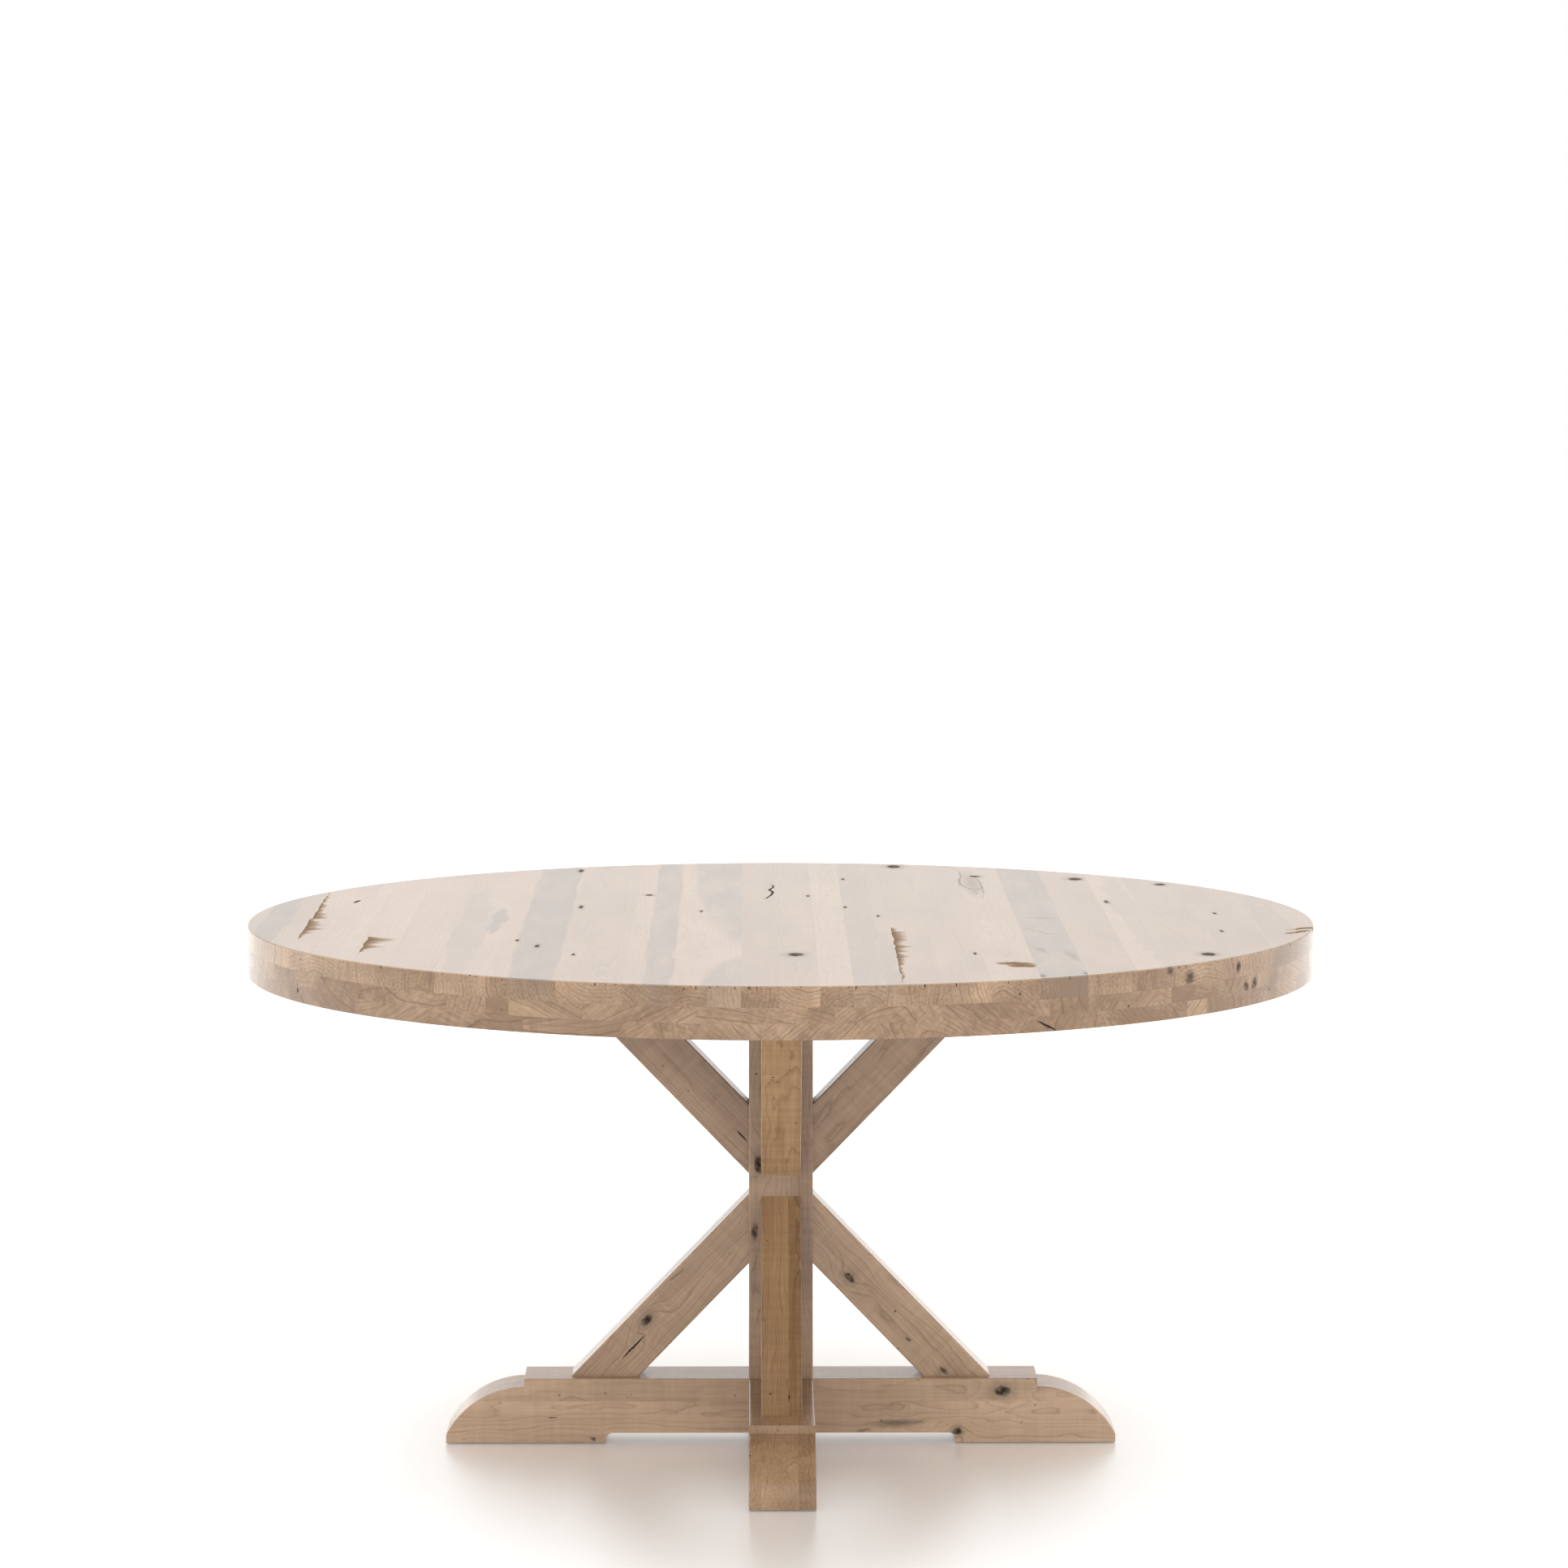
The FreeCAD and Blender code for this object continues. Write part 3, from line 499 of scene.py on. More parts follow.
    colour = add(tree, "Mix", {0: tone, 6: opaque(birch.deep), 7: opaque(birch.pale)}, output=2,
                 data_type="RGBA")
    colour = add(tree, "Mix", {0: given["Warm"], 6: colour, 7: opaque(birch.warm)}, output=2,
                 data_type="RGBA", blend_type="MULTIPLY")
    line_share = add(tree, "Math MULTIPLY", {0: line, 1: LINE_SHARE})
    colour = add(tree, "Mix", {0: line_share, 6: colour, 7: opaque(birch.line)}, output=2, data_type="RGBA")
    colour = add(tree, "Mix", {0: pin, 6: colour, 7: opaque(birch.knot)}, output=2, data_type="RGBA")
    smoothest = birch.roughness - ROUGHNESS_SWING / 2
    rough = add(tree, "Math MULTIPLY_ADD", {0: fibre, 1: ROUGHNESS_SWING, 2: smoothest})
    height = add(tree, "Math MULTIPLY_ADD", {0: line, 1: LINE_GROOVE, 2: fibre})
    height = add(tree, "Math MULTIPLY", {0: height, 1: given["Relief"]})
    height = add(tree, "Math MULTIPLY_ADD", {0: pin, 1: PIN_PIT, 2: height})
    result = tree.nodes.new("NodeGroupOutput").inputs
    for name, socket in {"Colour": colour, "Roughness": rough, "Height": height}.items():
        tree.links.new(socket, result[name])
    return tree


def plank_place(tree, along, across, centre):
    """The place on a straight plank: X across, Y along its grain, Z through it, from its centre."""
    turn = Matrix((across, along, across.cross(along)))
    spot = add(tree, "TexCoord", output="Object")
    return add(tree, "Mapping", {"Vector": spot, "Location": -(turn @ centre), "Rotation": turn.to_euler()})


def rim_place(tree, course, name):
    """The place on a rim segment, which is glued up from short blocks two deep, and a random lot for each."""
    first_lot, lots_in_course, lots_behind = RIM_LOTS
    pitch = 2 * math.pi / RIM_SEGMENTS
    first = RIM_FIRST_JOINT + course * pitch / 2
    low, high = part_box(name)
    spot = add(tree, "TexCoord", output="Object")
    parts = add(tree, "SeparateXYZ", {0: spot})
    angle = add(tree, "Math ARCTAN2", {0: parts.node.outputs["Y"], 1: parts})
    angle = add(tree, "Math SUBTRACT", {0: angle, 1: first})
    turns = add(tree, "Math DIVIDE", {0: angle, 1: pitch})
    number = add(tree, "Math FLOOR", {0: turns})
    middle = add(tree, "Math MULTIPLY_ADD", {0: number, 1: pitch, 2: first + pitch / 2})
    back = add(tree, "Math MULTIPLY", {0: middle, 1: -1.0})
    level = add(tree, "VectorRotate", {"Vector": spot, "Angle": back}, rotation_type="Z_AXIS")
    level = add(tree, "SeparateXYZ", {0: level}).node.outputs
    place = add(tree, "CombineXYZ", {"X": level["Z"], "Y": level["Y"], "Z": level["X"]})
    place = add(tree, "VectorMath SUBTRACT", {0: place, 1: ((low.z + high.z) / 2, 0, high.x)})
    lap = add(tree, "Math FLOORED_MODULO", {0: number, 1: RIM_SEGMENTS})
    lap = add(tree, "Math ADD", {0: lap, 1: lots_in_course * course + first_lot})
    glue_line = add(tree, "TexWhiteNoise", {"W": lap}, noise_dimensions="1D")
    glue_line = add(tree, "MapRange", {"Value": glue_line, **RIM_GLUE_LINES})
    deep = add(tree, "SeparateXYZ", {0: place}, output="Z")
    deep = add(tree, "Math LESS_THAN", {0: deep, 1: glue_line})
    block = add(tree, "Math MULTIPLY", {0: lap, 1: len(RIM_CUTS) + 1.0})
    part = add(tree, "Math FRACT", {0: turns})
    for cut in RIM_CUTS:
        past = add(tree, "Math GREATER_THAN", {0: part, 1: cut})
        block = add(tree, "Math ADD", {0: block, 1: past})
    side = add(tree, "Math FLOORED_MODULO", {0: block, 1: 2.0})
    side = add(tree, "MapRange", {"Value": side, "To Min": -1.0})
    block = add(tree, "Math MULTIPLY_ADD", {0: deep, 1: lots_behind, 2: block})
    lot = add(tree, "TexWhiteNoise", {"W": block}, output="Color", noise_dimensions="1D")
    shares = add(tree, "SeparateXYZ", {0: lot}).node.outputs
    skew = add(tree, "MapRange", {"Value": shares["Y"], "To Min": -RIM_SKEW, "To Max": RIM_SKEW})
    place = add(tree, "VectorRotate", {"Vector": place, "Angle": skew}, rotation_type="X_AXIS")
    slant = add(tree, "MapRange", {"Value": shares["X"], **RIM_SLANTS})
    slant = add(tree, "Math MULTIPLY", {0: slant, 1: side})
    place = add(tree, "VectorRotate", {"Vector": place, "Angle": slant}, rotation_type="Z_AXIS")
    return place, lot


def split_staves(tree, place, joints, seed, tone):
    """A random lot and a tone for each stave of a piece.

    A joint is an axis of the plank, where it is cut in millimetres, and how much paler the wood is past it.
    """
    parts = add(tree, "SeparateXYZ", {0: place}).node.outputs
    count = seed
    for order, (axis, where, step) in enumerate(joints):
        past = add(tree, "Math GREATER_THAN", {0: parts[axis], 1: where * MM})
        count = add(tree, "Math MULTIPLY_ADD", {0: past, 1: 2.0 ** order, 2: count})
        tone = add(tree, "Math MULTIPLY_ADD", {0: past, 1: step, 2: tone})
    lot = add(tree, "TexWhiteNoise", {"W": count}, output="Color", noise_dimensions="1D")
    return lot, tone


def spread_pith(tree, lot, middle, spread):
    """Where the heart of the log lay: about a middle place, at random for each stave."""
    pith = add(tree, "VectorMath SUBTRACT", {0: lot, 1: HALFWAY})
    return add(tree, "VectorMath MULTIPLY_ADD", {0: pith, 1: spread, 2: middle})


def spread_tone(tree, lot, low, high):
    """How pale each stave is, at random."""
    share = add(tree, "SeparateXYZ", {0: lot}, output="Z")
    return add(tree, "MapRange", {"Value": share, "To Min": low, "To Max": high})


def away_from_mark(tree, spot, start, end, half_width, stroke):
    """How far a point is from the middle of a mark: 1 is its edge. Strokes are even, other marks oval."""
    start = in_space(start)
    end = in_space(end)
    half_width = half_width * MM
    half_length = (end - start).length / 2
    way = (end - start).normalized()
    offset = add(tree, "VectorMath SUBTRACT", {0: spot, 1: (start + end) / 2})
    along = add(tree, "VectorMath DOT_PRODUCT", {0: offset, 1: way}, output="Value")
    if stroke:
        along = add(tree, "Clamp", {"Value": along, "Min": -half_length, "Max": half_length})
        drawn_in = way
    else:
        drawn_in = way * (1 - half_width / half_length)
    drawn_in = add(tree, "VectorMath SCALE", {0: drawn_in, "Scale": along})
    off = add(tree, "VectorMath DISTANCE", {0: offset, 1: drawn_in}, output="Value")
    return add(tree, "Math DIVIDE", {0: off, 1: half_width})


def lay_marks(tree, birch, marks):
    """A mask for each layer of marks, and how far the knots push the rings aside."""
    spot = add(tree, "TexCoord", output="Object")
    # Grey wood goes straight down through a board of the top
    level = add(tree, "VectorMath MULTIPLY_ADD", {0: spot, 1: (1, 1, 0), 2: (0, 0, TOP_HEIGHT * MM)})
    warps = {}
    for layer in sorted({MARK_KINDS[mark[0]][-1] for mark in marks}):
        across, along = MARK_LAYERS[layer][-1]
        warp = waves(tree, spot, across, along, 3.0, "Color")
        warps[layer] = add(tree, "VectorMath SUBTRACT", {0: warp, 1: HALFWAY})
    masks = {layer: 0.0 for layer in MARK_LAYERS}
    swell = 0.0
    for kind, start, end, half_width in marks:
        full, gone, strength, swing, layer = MARK_KINDS[kind]
        aside = [swing * MM] * 3
        middle = level if layer == "grey" else spot
        ragged = add(tree, "VectorMath MULTIPLY_ADD", {0: warps[layer], 1: aside, 2: middle})
        away = away_from_mark(tree, ragged, start, end, half_width, kind in STROKES)
        mask = add(tree, "MapRange", {"Value": away, "From Min": full, "From Max": gone, "To Min": strength,
                                      "To Max": 0.0}, interpolation_type="SMOOTHSTEP")
        if kind in MOTTLED:
            mottle = add(tree, "SeparateColor", {0: warps[layer]}, output="Green")
            mottle = add(tree, "MapRange", {"Value": mottle, **MOTTLE})
            mask = add(tree, "Math MULTIPLY", {0: mask, 1: mottle})
        masks[layer] = add(tree, "Math MAXIMUM", {0: masks[layer], 1: mask})
        if kind == "knot":
            halo = add(tree, "MapRange", {"Value": away, **HALO}, interpolation_type="SMOOTHSTEP")
            masks["stain"] = add(tree, "Math MAXIMUM", {0: masks["stain"], 1: halo})
            bulge = add(tree, "MapRange", {"Value": away, "From Min": 0.0, "From Max": BULGE_REACH,
                                           "To Min": BULGE_RINGS * birch.ring, "To Max": 0.0},
                        interpolation_type="SMOOTHSTEP")
            swell = add(tree, "Math ADD", {0: swell, 1: bulge})
    if "grey" in warps:
        # It shows less on the ends of the boards, which are dark already
        showing = by_slope(tree, 0.5, 1.0)
        masks["grey"] = add(tree, "Math MULTIPLY", {0: masks["grey"], 1: showing})
    return masks, swell


def lay_tears(tree, tears):
    """A mask for bark and torn grain: sharp on one side, with teeth that fade out on the other."""
    spot = add(tree, "TexCoord", output="Object")
    parts = add(tree, "SeparateXYZ", {0: spot}).node.outputs
    torn = 0.0
    for x, low, widest, high, width in tears:
        taper = add(tree, "MapRange", {"Value": parts["Y"], "From Min": low * MM, "From Max": widest * MM})
        ending = add(tree, "MapRange", {"Value": parts["Y"], "From Min": widest * MM, "From Max": high * MM,
                                        "To Min": 1.0, "To Max": 0.0})
        taper = add(tree, "Math MULTIPLY", {0: taper, 1: ending})
        sway = add(tree, "TexNoise", {"W": parts["Y"], "Scale": 1 / (SWAY_SIZE * MM), "Detail": 3.0},
                   noise_dimensions="1D")
        sway = add(tree, "MapRange", {"Value": sway, "To Min": (x - SWAY_SWING) * MM,
                                      "To Max": (x + SWAY_SWING) * MM})
        off = add(tree, "Math SUBTRACT", {0: parts["X"], 1: sway})
        teeth = add(tree, "TexNoise", {"W": parts["Y"], "Scale": 1 / (TOOTH_SIZE * MM), "Detail": 2.0,
                                       "Roughness": 0.6}, noise_dimensions="1D")
        teeth = add(tree, "MapRange", {"Value": teeth, **TOOTH_NOISE, "To Min": SHORT_TOOTH * width * MM,
                                       "To Max": width * MM})
        teeth = add(tree, "Math MULTIPLY_ADD", {0: teeth, 1: taper, 2: LEAST_TOOTH * MM})
        fade = add(tree, "Math DIVIDE", {0: off, 1: teeth})
        fade = add(tree, "MapRange", {"Value": fade, **TORN_FADE})
        inside = add(tree, "Math GREATER_THAN", {0: off, 1: 0.0})
        fade = add(tree, "Math MULTIPLY", {0: fade, 1: inside})
        torn = add(tree, "Math MAXIMUM", {0: torn, 1: fade})
    return torn


def finish_birch(tree, birch, place, lot, pith, tone=0.0, figure=1.0, relief=1.0, warm=0.0, marks=(),
                 tears=(), wave=1.0):
    """Lay the grain on a piece and mark it. Wave is how far the rings wander."""
    masks, swell = lay_marks(tree, birch, marks)
    if tears:
        torn = lay_tears(tree, tears)
        masks["bark"] = add(tree, "Math MAXIMUM", {0: masks["bark"], 1: torn})
    grain = bpy.data.node_groups.get("Birch grain") or birch_grain(birch)
    settings = {"Place": place, "Lot": lot, "Pith": pith, "Swell": swell, "Wave": wave, "Tone": tone,
                "Figure": figure, "Relief": relief, "Warm": warm}
    wood = add(tree, "Group", settings, node_tree=grain).node.outputs
    colour = wood["Colour"]
    height = wood["Height"]
    rough = wood["Roughness"]
    for layer, (shade, raised, dulled, _) in MARK_LAYERS.items():
        mask = masks[layer]
        if isinstance(mask, bpy.types.NodeSocket):
            tint = opaque(getattr(birch, shade))
            colour = add(tree, "Mix", {0: mask, 6: colour, 7: tint}, output=2, data_type="RGBA")
            height = add(tree, "Math MULTIPLY_ADD", {0: mask, 1: raised, 2: height})
            rough = add(tree, "Mix", {0: mask, 2: rough, 3: dulled})
    close_material(tree, colour, rough, height, RELIEF_HEIGHT, IOR=LACQUER_IOR)


def finish_staves(context, name, along, across, joints, seed, tone, warm=0.0, pith=(0, 0, 0),
                  spread=(0.16, 0.03, 0.16), figure=1.0):
    """Finish a straight piece glued up from staves. The tone is that of the stave before every joint."""
    low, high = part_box(name)
    material = new_material("Birch %s, glued up and lacquered" % name.replace("_", " "))
    tree = material.node_tree
    place = plank_place(tree, along, across, (low + high) / 2)
    lot, tone = split_staves(tree, place, joints, seed, tone)
    pith = spread_pith(tree, lot, pith, spread)
    finish_birch(tree, context.scene.table_birch, place, lot, pith, tone, figure, 1.0, warm,
                 MARKS.get(name, ()))
    dress([name], material)


def by_slope(tree, upright, level):
    """One value on upright faces and another on level ones."""
    slope = add(tree, "NewGeometry", output="Normal")
    slope = add(tree, "SeparateXYZ", {0: slope}, output="Z")
    return add(tree, "MapRange", {"Value": slope, **SLOPES, "To Min": upright, "To Max": level})


class TABLE_OT_top_boards(bpy.types.Operator):
    """Finish the boards of the top, each sawn from its own place in a log"""
    bl_idname = "table_parts.top_boards"
    bl_label = "Top boards"
    # Random tones of the ends of the boards, which are end grain and darker, and of the sanded top
    RANDOM_END_TONES = (-0.46, -0.10)
    RANDOM_TOP_TONES = (-0.13, 0.17)
    # Figure, relief and yellowness on the ends and on the top, and how far the rings wander
    FIGURE = (1.5, 0.5)
    RELIEF = (1.0, 0.07)
    WARM = (0.25, 0.0)
    RING_WANDER = 0.6
    # Drying cracks in the ends, painted dark as shade in their gaps: how far they start above the top, and
    # how deep they go, in millimetres
    CRACK_RISE = 4
    CRACK_DEPTHS = (3, 7)
    CRACK_HALF_WIDTH = 1.0

    def execute(self, context):
        names = sorted(name for name in NODES if name.startswith("top_board_") and name[-1].isdigit())
        for number, name in enumerate(names, start=1):
            dice = random.Random(BOARD_SEED + number)
            low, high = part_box(name)
            material = new_material("Birch board %02d, planed and lacquered" % number)
            tree = material.node_tree
            place = plank_place(tree, BACK, RIGHT, (low + high) / 2)
            # Flat sawn, with the heart of the log above or below, or else beside it
            if dice.random() < 0.5:
                pith = (dice.uniform(-0.02, 0.02), dice.uniform(-0.02, 0.02), dice.choice((-1, 1)) * 0.04)
            else:
                pith = (dice.choice((-1, 1)) * dice.uniform(0.09, 0.2), dice.uniform(-0.02, 0.02), 0.02)
            lot = [dice.random() for _ in range(3)]
            marks = list(MARKS.get(name, ()))
            for end in (-1, 1):
                for _ in range(dice.choice((1, 2, 3))):
                    x = dice.uniform(low.x, high.x) / MM
                    y = end * math.sqrt(max(0.0, TOP_RADIUS ** 2 - x ** 2))
                    start = (x, y, TOP_HEIGHT + self.CRACK_RISE)
                    end_point = (x, y, TOP_HEIGHT - dice.uniform(*self.CRACK_DEPTHS))
                    marks.append(("crack", start, end_point, self.CRACK_HALF_WIDTH))
            end_tone = dice.uniform(*self.RANDOM_END_TONES)
            tone = by_slope(tree, END_TONES.get(name, end_tone), dice.uniform(*self.RANDOM_TOP_TONES))
            figure = by_slope(tree, *self.FIGURE)
            relief = by_slope(tree, *self.RELIEF)
            warm = by_slope(tree, *self.WARM)
            finish_birch(tree, context.scene.table_birch, place, lot, pith, tone, figure, relief, warm, marks,
                         TEARS.get(name, ()), self.RING_WANDER)
            dress([name], material)
        return {"FINISHED"}


class TABLE_OT_rim(bpy.types.Operator):
    """Finish the two courses of rim segments, sawn from straight planks so that the grain runs out"""
    bl_idname = "table_parts.rim"
    bl_label = "Rim"
    # Where the heart of the log lay, how far that varies, and the darkest and palest tone
    COURSES = {"rim_upper_segments": ((0.0, 0, -0.07), (0.20, 0.04, 0.08), (-0.37, -0.18)),
               "rim_lower_segments": ((0.0, 0, -0.06), (0.14, 0.04, 0.06), (-0.50, -0.25))}
    FIGURE = 1.4
    WARM = 0.3
    RING_WANDER = 0.45

    def execute(self, context):
        for course, (name, (middle, spread, tones)) in enumerate(self.COURSES.items()):
            material = new_material("Birch %s, sawn round and lacquered" % name.replace("_", " "))
            tree = material.node_tree
            place, lot = rim_place(tree, course, name)
            pith = spread_pith(tree, lot, middle, spread)
            tone = spread_tone(tree, lot, *tones)
            finish_birch(tree, context.scene.table_birch, place, lot, pith, tone, self.FIGURE, 1.0, self.WARM,
                         MARKS[name], wave=self.RING_WANDER)
            dress([name], material)
        return {"FINISHED"}


class TABLE_OT_post(bpy.types.Operator):
    """Finish the post, glued up from upright staves, whose right stave is darkened as painted shade from the
    front brace
    """
    bl_idname = "table_parts.post"
    bl_label = "Post"

    def execute(self, context):
        # The stave past 13 mm is 0.10 darker: a real stave, darkened as painted shade where the front brace
        # shades the post
        joints = (("X", 13, -0.10), ("Z", 20, 0.0))
        finish_staves(context, "post", UP, RIGHT, joints, POST_SEED, tone=-0.22)
        return {"FINISHED"}


class TABLE_OT_braces(bpy.types.Operator):
    """Finish the eight braces, with the grain along each brace"""
    bl_idname = "table_parts.braces"
    bl_label = "Braces"
    # How pale each brace is, how much paler its second stave is, if it has one, and how yellow it is
    TONES = {("lower", "right"): (0.15, 0.0, 0.0), ("upper", "right"): (-0.27, 0.0, 0.0),
             ("lower", "back"): (-0.05, 0.1, 0.3), ("upper", "back"): (-0.10, 0.0, 0.3),
             ("lower", "left"): (-0.05, 0.0, 0.0), ("upper", "left"): (-0.30, 0.0, 0.0),
             ("lower", "front"): (-0.14, -0.22, 0.85), ("upper", "front"): (-0.11, None, 0.7)}
    # A brace in one piece, sawn close to the heart of the log, so that its rings show as flames
    FLAMED = {("upper", "front"): {"pith": (-0.055, 0.03, 0.010), "spread": (0.01, 0.02, 0.01),
                                   "figure": 1.25}}
    STAVE_JOINT = 10

    def execute(self, context):
        outward = {"right": RIGHT, "back": BACK, "left": -RIGHT, "front": -BACK}
        seed = BRACE_SEED
        for arm, out in outward.items():
            for height, way in (("lower", -1), ("upper", 1)):
                along = out * math.cos(BRACE_ANGLE) + UP * way * math.sin(BRACE_ANGLE)
                across = out * -way * math.sin(BRACE_ANGLE) + UP * math.cos(BRACE_ANGLE)
                tone, step, warm = self.TONES[height, arm]
                joints = () if step is None else (("Z", self.STAVE_JOINT, step),)
                name = "%s_brace_%s" % (height, arm)
                finish_staves(context, name, along, across, joints, seed, tone, warm,
                              **self.FLAMED.get((height, arm), {}))
                seed += SEED_STEP
        return {"FINISHED"}


class TABLE_OT_rails(bpy.types.Operator):
    """Finish the crossed rails under the top"""
    bl_idname = "table_parts.rails"
    bl_label = "Rails"

    def execute(self, context):
        joints = (("Z", 0, 0.0),)
        finish_staves(context, "side_to_side_rail", RIGHT, UP, joints, RAIL_SEED, tone=0.0)
        finish_staves(context, "front_to_back_rail", BACK, UP, joints, RAIL_SEED + SEED_STEP, tone=0.0)
        return {"FINISHED"}


class TABLE_OT_feet(bpy.types.Operator):
    """Finish the crossed feet, glued up from three upright staves and a cap. The side-to-side foot's pale
    tone is partly painted light, lifting the shade of the top
    """
    bl_idname = "table_parts.feet"
    bl_label = "Feet"

    def execute(self, context):
        joints = (("Z", -22, 0.0), ("Z", 29, 0.0), ("X", 13.5, -0.05))
        # Its pale tone 0.31 is partly the wood's own and partly painted light, lifting the shade that the top
        # casts on this foot
        finish_staves(context, "side_to_side_foot", RIGHT, UP, joints, FOOT_SEED, tone=0.31,
                      pith=(0, 0, -0.10), spread=(0.04, 0.06, 0.02))
        joints = (("Z", -22, 0.22), ("Z", 29, -0.24))
        finish_staves(context, "front_to_back_foot", BACK, UP, joints, FOOT_SEED + SEED_STEP, tone=-0.34,
                      warm=0.58, pith=(0, 0, 0.18))
        return {"FINISHED"}


def finish_plain(names, title, colour, roughness, metallic, sizes, spread, depth):
    """Finish small pieces of one stuff with a cloudy tone and a fine relief, whose waves have sizes in mm."""
    swing = 0.08
    material = new_material(title)
    tree = material.node_tree
    spot = add(tree, "TexCoord", output="Object")
    per_metre = [1 / (size * MM) for size in sizes]
    spot = add(tree, "VectorMath MULTIPLY", {0: spot, 1: per_metre})
    cloud = add(tree, "TexNoise", {"Vector": spot, "Scale": 1.0, "Detail": 3.0})
    shade = add(tree, "MapRange", {"Value": cloud, "To Min": 1 - spread, "To Max": 1 + spread})
    tint = add(tree, "VectorMath SCALE", {0: colour, "Scale": shade})
    rough = add(tree, "MapRange", {"Value": cloud, "To Min": roughness - swing, "To Max": roughness + swing})
    close_material(tree, tint, rough, cloud, depth, Metallic=metallic)
    dress(names, material)


class TABLE_OT_joinery(bpy.types.Operator):
    """Finish the dowels and splines"""
    bl_idname = "table_parts.joinery"
    bl_label = "Dowels and splines"

    def execute(self, context):
        # Bare birch, turned or sawn: no film, so it is pale and dull with fine streaks
        names = ["top_board_splines", "lower_brace_dowels", "upper_brace_dowels"]
        finish_plain(names, "Bare birch, turned and sawn", context.scene.table_hardware.bare_birch,
                     roughness=0.7, metallic=0.0, sizes=(2.5, 2.5, 17), spread=0.25, depth=0.00005)
        return {"FINISHED"}


class TABLE_OT_fasteners(bpy.types.Operator):
    """Finish the screws, bolts and washers"""
    bl_idname = "table_parts.fasteners"
    bl_label = "Screws and bolts"

    def execute(self, context):
        # Zinc-plated steel, cold-formed: a bright, slightly cloudy grey metal
        names = ["lower_brace_lag_screws", "upper_brace_lag_screws", "post_bolts", "top_screws",
                 "top_screw_washers"]
        finish_plain(names, "Steel, cold-formed and zinc plated", context.scene.table_hardware.zinc, **ZINC)
        return {"FINISHED"}


class TABLE_OT_levelers(bpy.types.Operator):
    """Finish the leveler pads, stems and inserts"""
    bl_idname = "table_parts.levelers"
    bl_label = "Levelers"

    def execute(self, context):
        hardware = context.scene.table_hardware
        # Zinc-plated steel, rolled thread: a bright, slightly cloudy grey metal
        finish_plain(["leveler_stem_" + arm for arm in ARMS], "Steel, rolled and zinc plated", hardware.zinc,
                     **ZINC)
        # Brass, turned on a lathe: yellow metal with fine level tool lines
        finish_plain(["leveler_inserts"], "Brass, turned", hardware.brass,
                     roughness=0.28, metallic=1.0, sizes=(17, 17, 0.55), spread=0.15, depth=0.00002)
        # Nylon, moulded: dull and dark with a fine even grit
        finish_plain(["leveler_pad_" + arm for arm in ARMS], "Nylon, moulded", hardware.nylon,
                     roughness=0.55, metallic=0.0, sizes=(1.1, 1.1, 1.1), spread=0.2, depth=0.00004)
        return {"FINISHED"}


def seen_straight(tree):
    """One where the camera, a mirror image or glass shows the place, and nought where it only gives light."""
    rays = add(tree, "LightPath").node.outputs
    seen = add(tree, "Math MAXIMUM", {0: rays["Is Camera Ray"], 1: rays["Is Glossy Ray"]})
    return add(tree, "Math MAXIMUM", {0: seen, 1: rays["Is Transmission Ray"]})


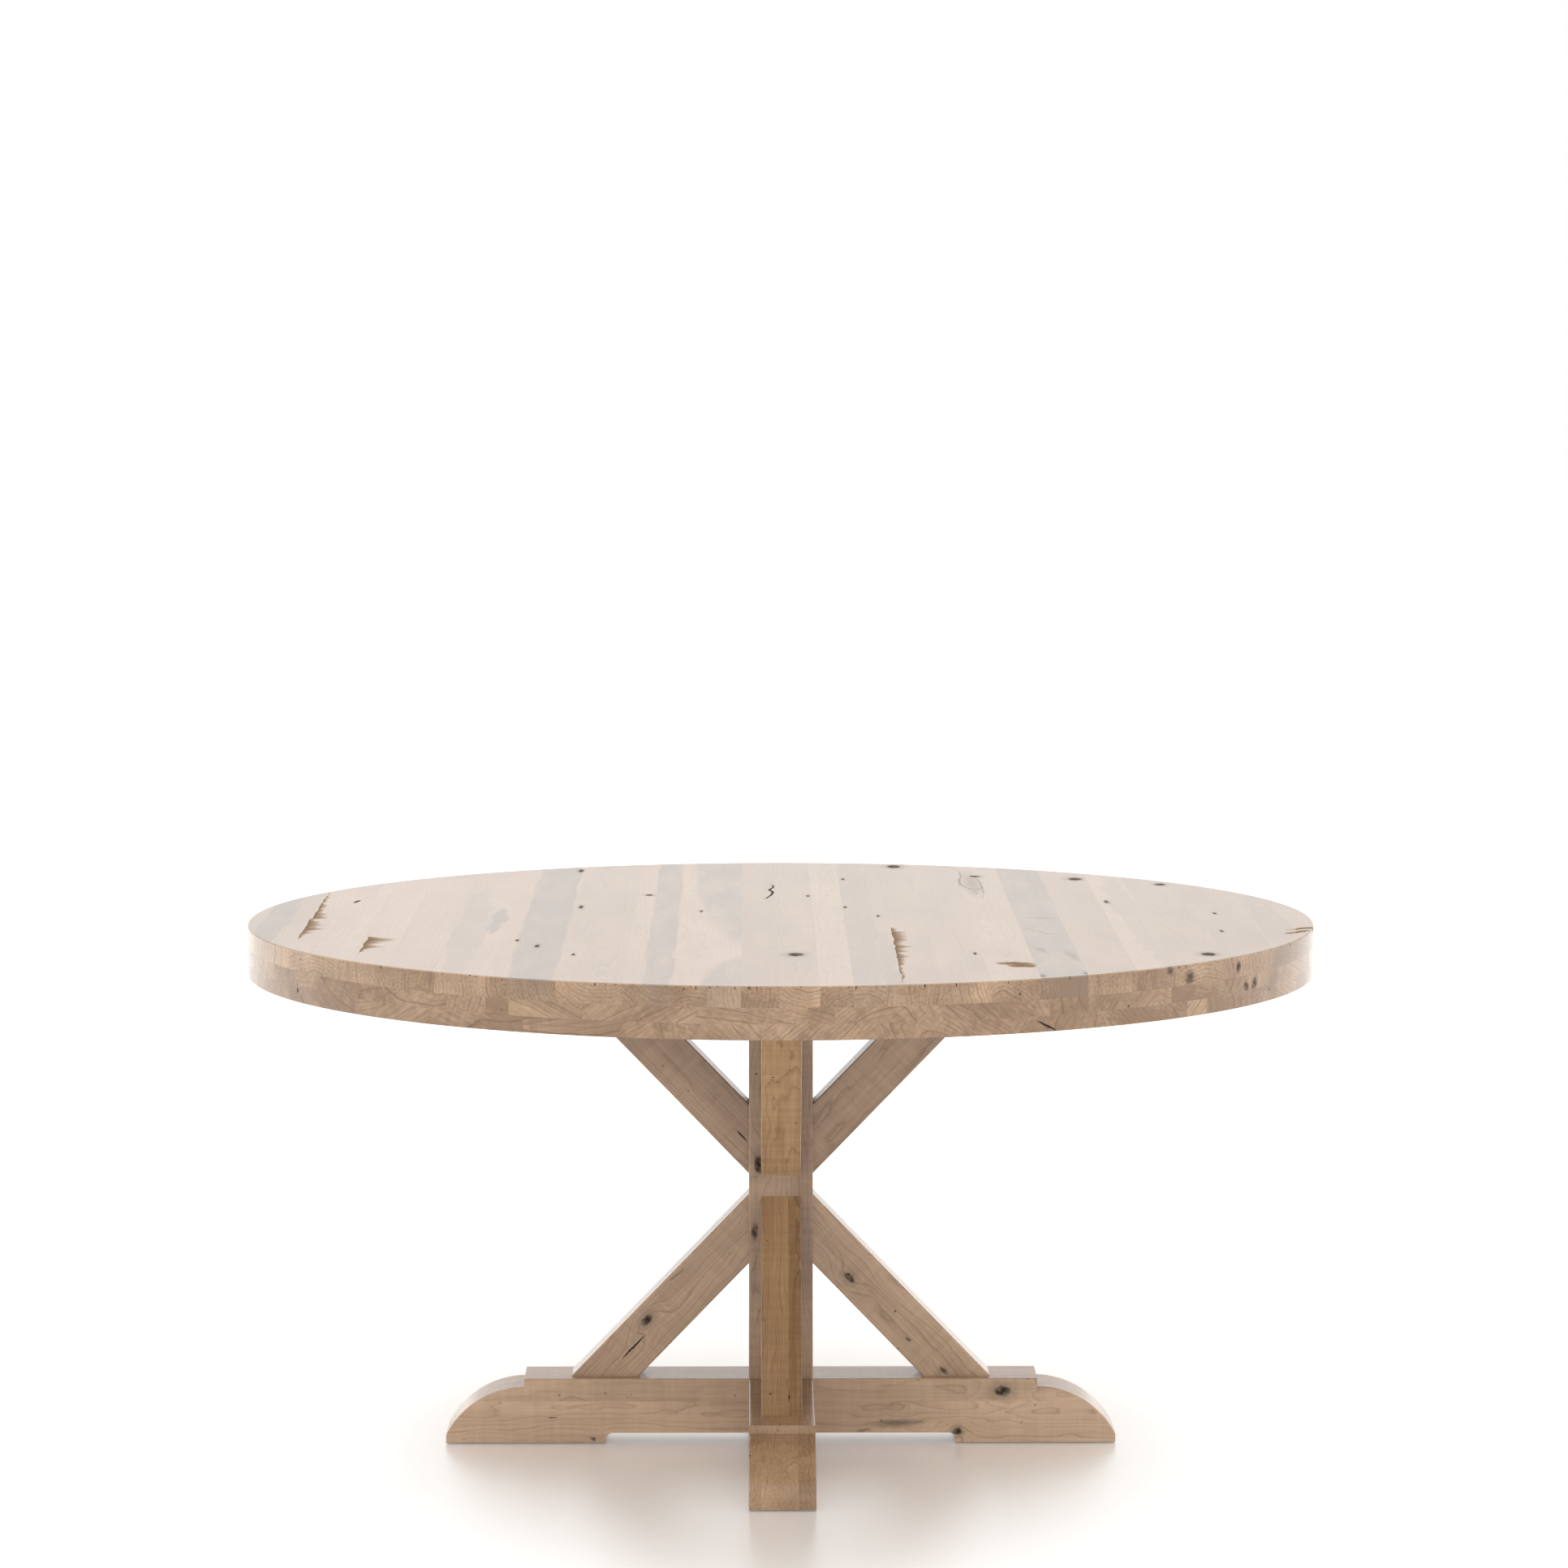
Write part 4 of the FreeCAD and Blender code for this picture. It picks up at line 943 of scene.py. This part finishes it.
class TABLE_OT_stage(bpy.types.Operator):
    """Set the white floor, the soft light and the camera"""
    bl_idname = "table_parts.stage"
    bl_label = "Stage"
    # The oval round the table, across and along, between whose two sizes in metres the floor gets whiter
    # under a painted glow that fades the table's shadow
    OVAL = (1.35, 0.85, 1)
    OVAL_SIZES = (0.50, 1.3)
    FLOOR_ROUGHNESS = 0.3
    # How closely the light keeps to the zenith and to the level
    ZENITH_POWER = 2.0
    LEVEL_POWER = 5.0
    SENSOR_MM = 36
    CLIP_END = 200

    def execute(self, context):
        stage = context.scene.table_stage
        context.scene.view_settings.view_transform = "Standard"
        self.lay_floor(context, stage)
        self.light(context.scene, stage)
        self.place_camera(context.scene, stage)
        return {"FINISHED"}

    def lay_floor(self, context, stage):
        # Floor paint, rolled and polished: white, with a soft mirror image close to what stands on it. A
        # painted glow, seen straight on only, whitens it and lightens the table's shadow, more away from the
        # table
        bpy.ops.mesh.primitive_circle_add(vertices=96, radius=stage.floor_radius, fill_type="NGON")
        floor = context.object
        floor.name = "studio_floor"
        material = new_material("Floor paint, rolled and polished")
        tree = material.node_tree
        matt = add(tree, "BsdfDiffuse", {"Color": opaque(stage.floor)})
        gloss = add(tree, "BsdfGlossy", {"Color": opaque(stage.floor), "Roughness": self.FLOOR_ROUGHNESS})
        paint = add(tree, "MixShader", {0: stage.floor_gloss, 1: matt, 2: gloss})
        away = add(tree, "TexCoord", output="Object")
        away = add(tree, "VectorMath MULTIPLY", {0: away, 1: self.OVAL})
        away = add(tree, "VectorMath LENGTH", {0: away}, output="Value")
        near, far = self.OVAL_SIZES
        glow = add(tree, "MapRange", {"Value": away, "From Min": near, "From Max": far,
                                      "To Min": stage.near_floor_glow, "To Max": stage.far_floor_glow},
                   interpolation_type="SMOOTHSTEP")
        glow = add(tree, "Math MULTIPLY", {0: seen_straight(tree), 1: glow})
        glow = add(tree, "Emission", {"Strength": glow})
        surface = add(tree, "AddShader", {0: paint, 1: glow})
        tree.links.new(surface, tree.nodes.new("ShaderNodeOutputMaterial").inputs["Surface"])
        floor.data.materials.append(material)

    def light(self, scene, stage):
        # A white tent: a base level all round, more from straight above and more from the level.
        # The camera and gloss see plain white.
        world = bpy.data.worlds.new("White tent")
        scene.world = world
        world.use_nodes = True
        tree = world.node_tree
        tree.nodes.clear()
        toward = add(tree, "TexCoord", output="Generated")
        rise = add(tree, "SeparateXYZ", {0: toward}, output="Z")
        rise = add(tree, "Math MAXIMUM", {0: rise, 1: 0.0})
        zenith = add(tree, "Math POWER", {0: rise, 1: self.ZENITH_POWER})
        level = add(tree, "Math SUBTRACT", {0: 1.0, 1: rise})
        level = add(tree, "Math POWER", {0: level, 1: self.LEVEL_POWER})
        light = add(tree, "Math MULTIPLY_ADD", {0: zenith, 1: stage.zenith, 2: stage.dome})
        light = add(tree, "Math MULTIPLY_ADD", {0: level, 1: stage.level, 2: light})
        strength = add(tree, "Mix", {0: seen_straight(tree), 2: light, 3: 1.0})
        sky = add(tree, "Background", {"Color": (1, 1, 1, 1), "Strength": strength})
        tree.links.new(sky, tree.nodes.new("ShaderNodeOutputWorld").inputs["Surface"])

    def place_camera(self, scene, stage):
        eye = bpy.data.objects.new("photo_camera", bpy.data.cameras.new("photo_camera"))
        eye.data.lens = stage.lens
        eye.data.sensor_width = self.SENSOR_MM
        eye.data.clip_end = self.CLIP_END
        eye.location = stage.camera_place
        way = Vector(stage.camera_aim) - Vector(stage.camera_place)
        eye.rotation_euler = way.to_track_quat("-Z", "Y").to_euler()
        scene.collection.objects.link(eye)
        scene.camera = eye


class TABLE_PT_parts(bpy.types.Panel):
    """Lists the table's finishes and their settings"""
    bl_idname = "TABLE_PT_parts"
    bl_label = "Braced round table"
    bl_space_type = "VIEW_3D"
    bl_region_type = "UI"
    bl_category = "Table"

    def draw(self, context):
        scene = context.scene
        for operator in OPERATORS:
            self.layout.operator(operator.bl_idname)
        for group in (scene.table_birch, scene.table_hardware, scene.table_stage):
            box = self.layout.box()
            for name in group.__annotations__:
                box.prop(group, name)


OPERATORS = (TABLE_OT_top_boards, TABLE_OT_rim, TABLE_OT_post, TABLE_OT_braces, TABLE_OT_rails,
             TABLE_OT_feet, TABLE_OT_joinery, TABLE_OT_fasteners, TABLE_OT_levelers, TABLE_OT_stage)
GROUPS = {"table_birch": BirchSettings, "table_hardware": HardwareSettings, "table_stage": StageSettings}


def register():
    for part in (*GROUPS.values(), *OPERATORS, TABLE_PT_parts):
        bpy.utils.register_class(part)
    for name, group in GROUPS.items():
        setattr(bpy.types.Scene, name, PointerProperty(type=group))


def unregister():
    for name in GROUPS:
        delattr(bpy.types.Scene, name)
    for part in (TABLE_PT_parts, *reversed(OPERATORS), *reversed(GROUPS.values())):
        bpy.utils.unregister_class(part)


def main():
    register()
    bpy.ops.table_parts.top_boards()
    bpy.ops.table_parts.rim()
    bpy.ops.table_parts.post()
    bpy.ops.table_parts.braces()
    bpy.ops.table_parts.rails()
    bpy.ops.table_parts.feet()
    bpy.ops.table_parts.joinery()
    bpy.ops.table_parts.fasteners()
    bpy.ops.table_parts.levelers()
    bpy.ops.table_parts.stage()


if __name__ == "__main__":
    main()
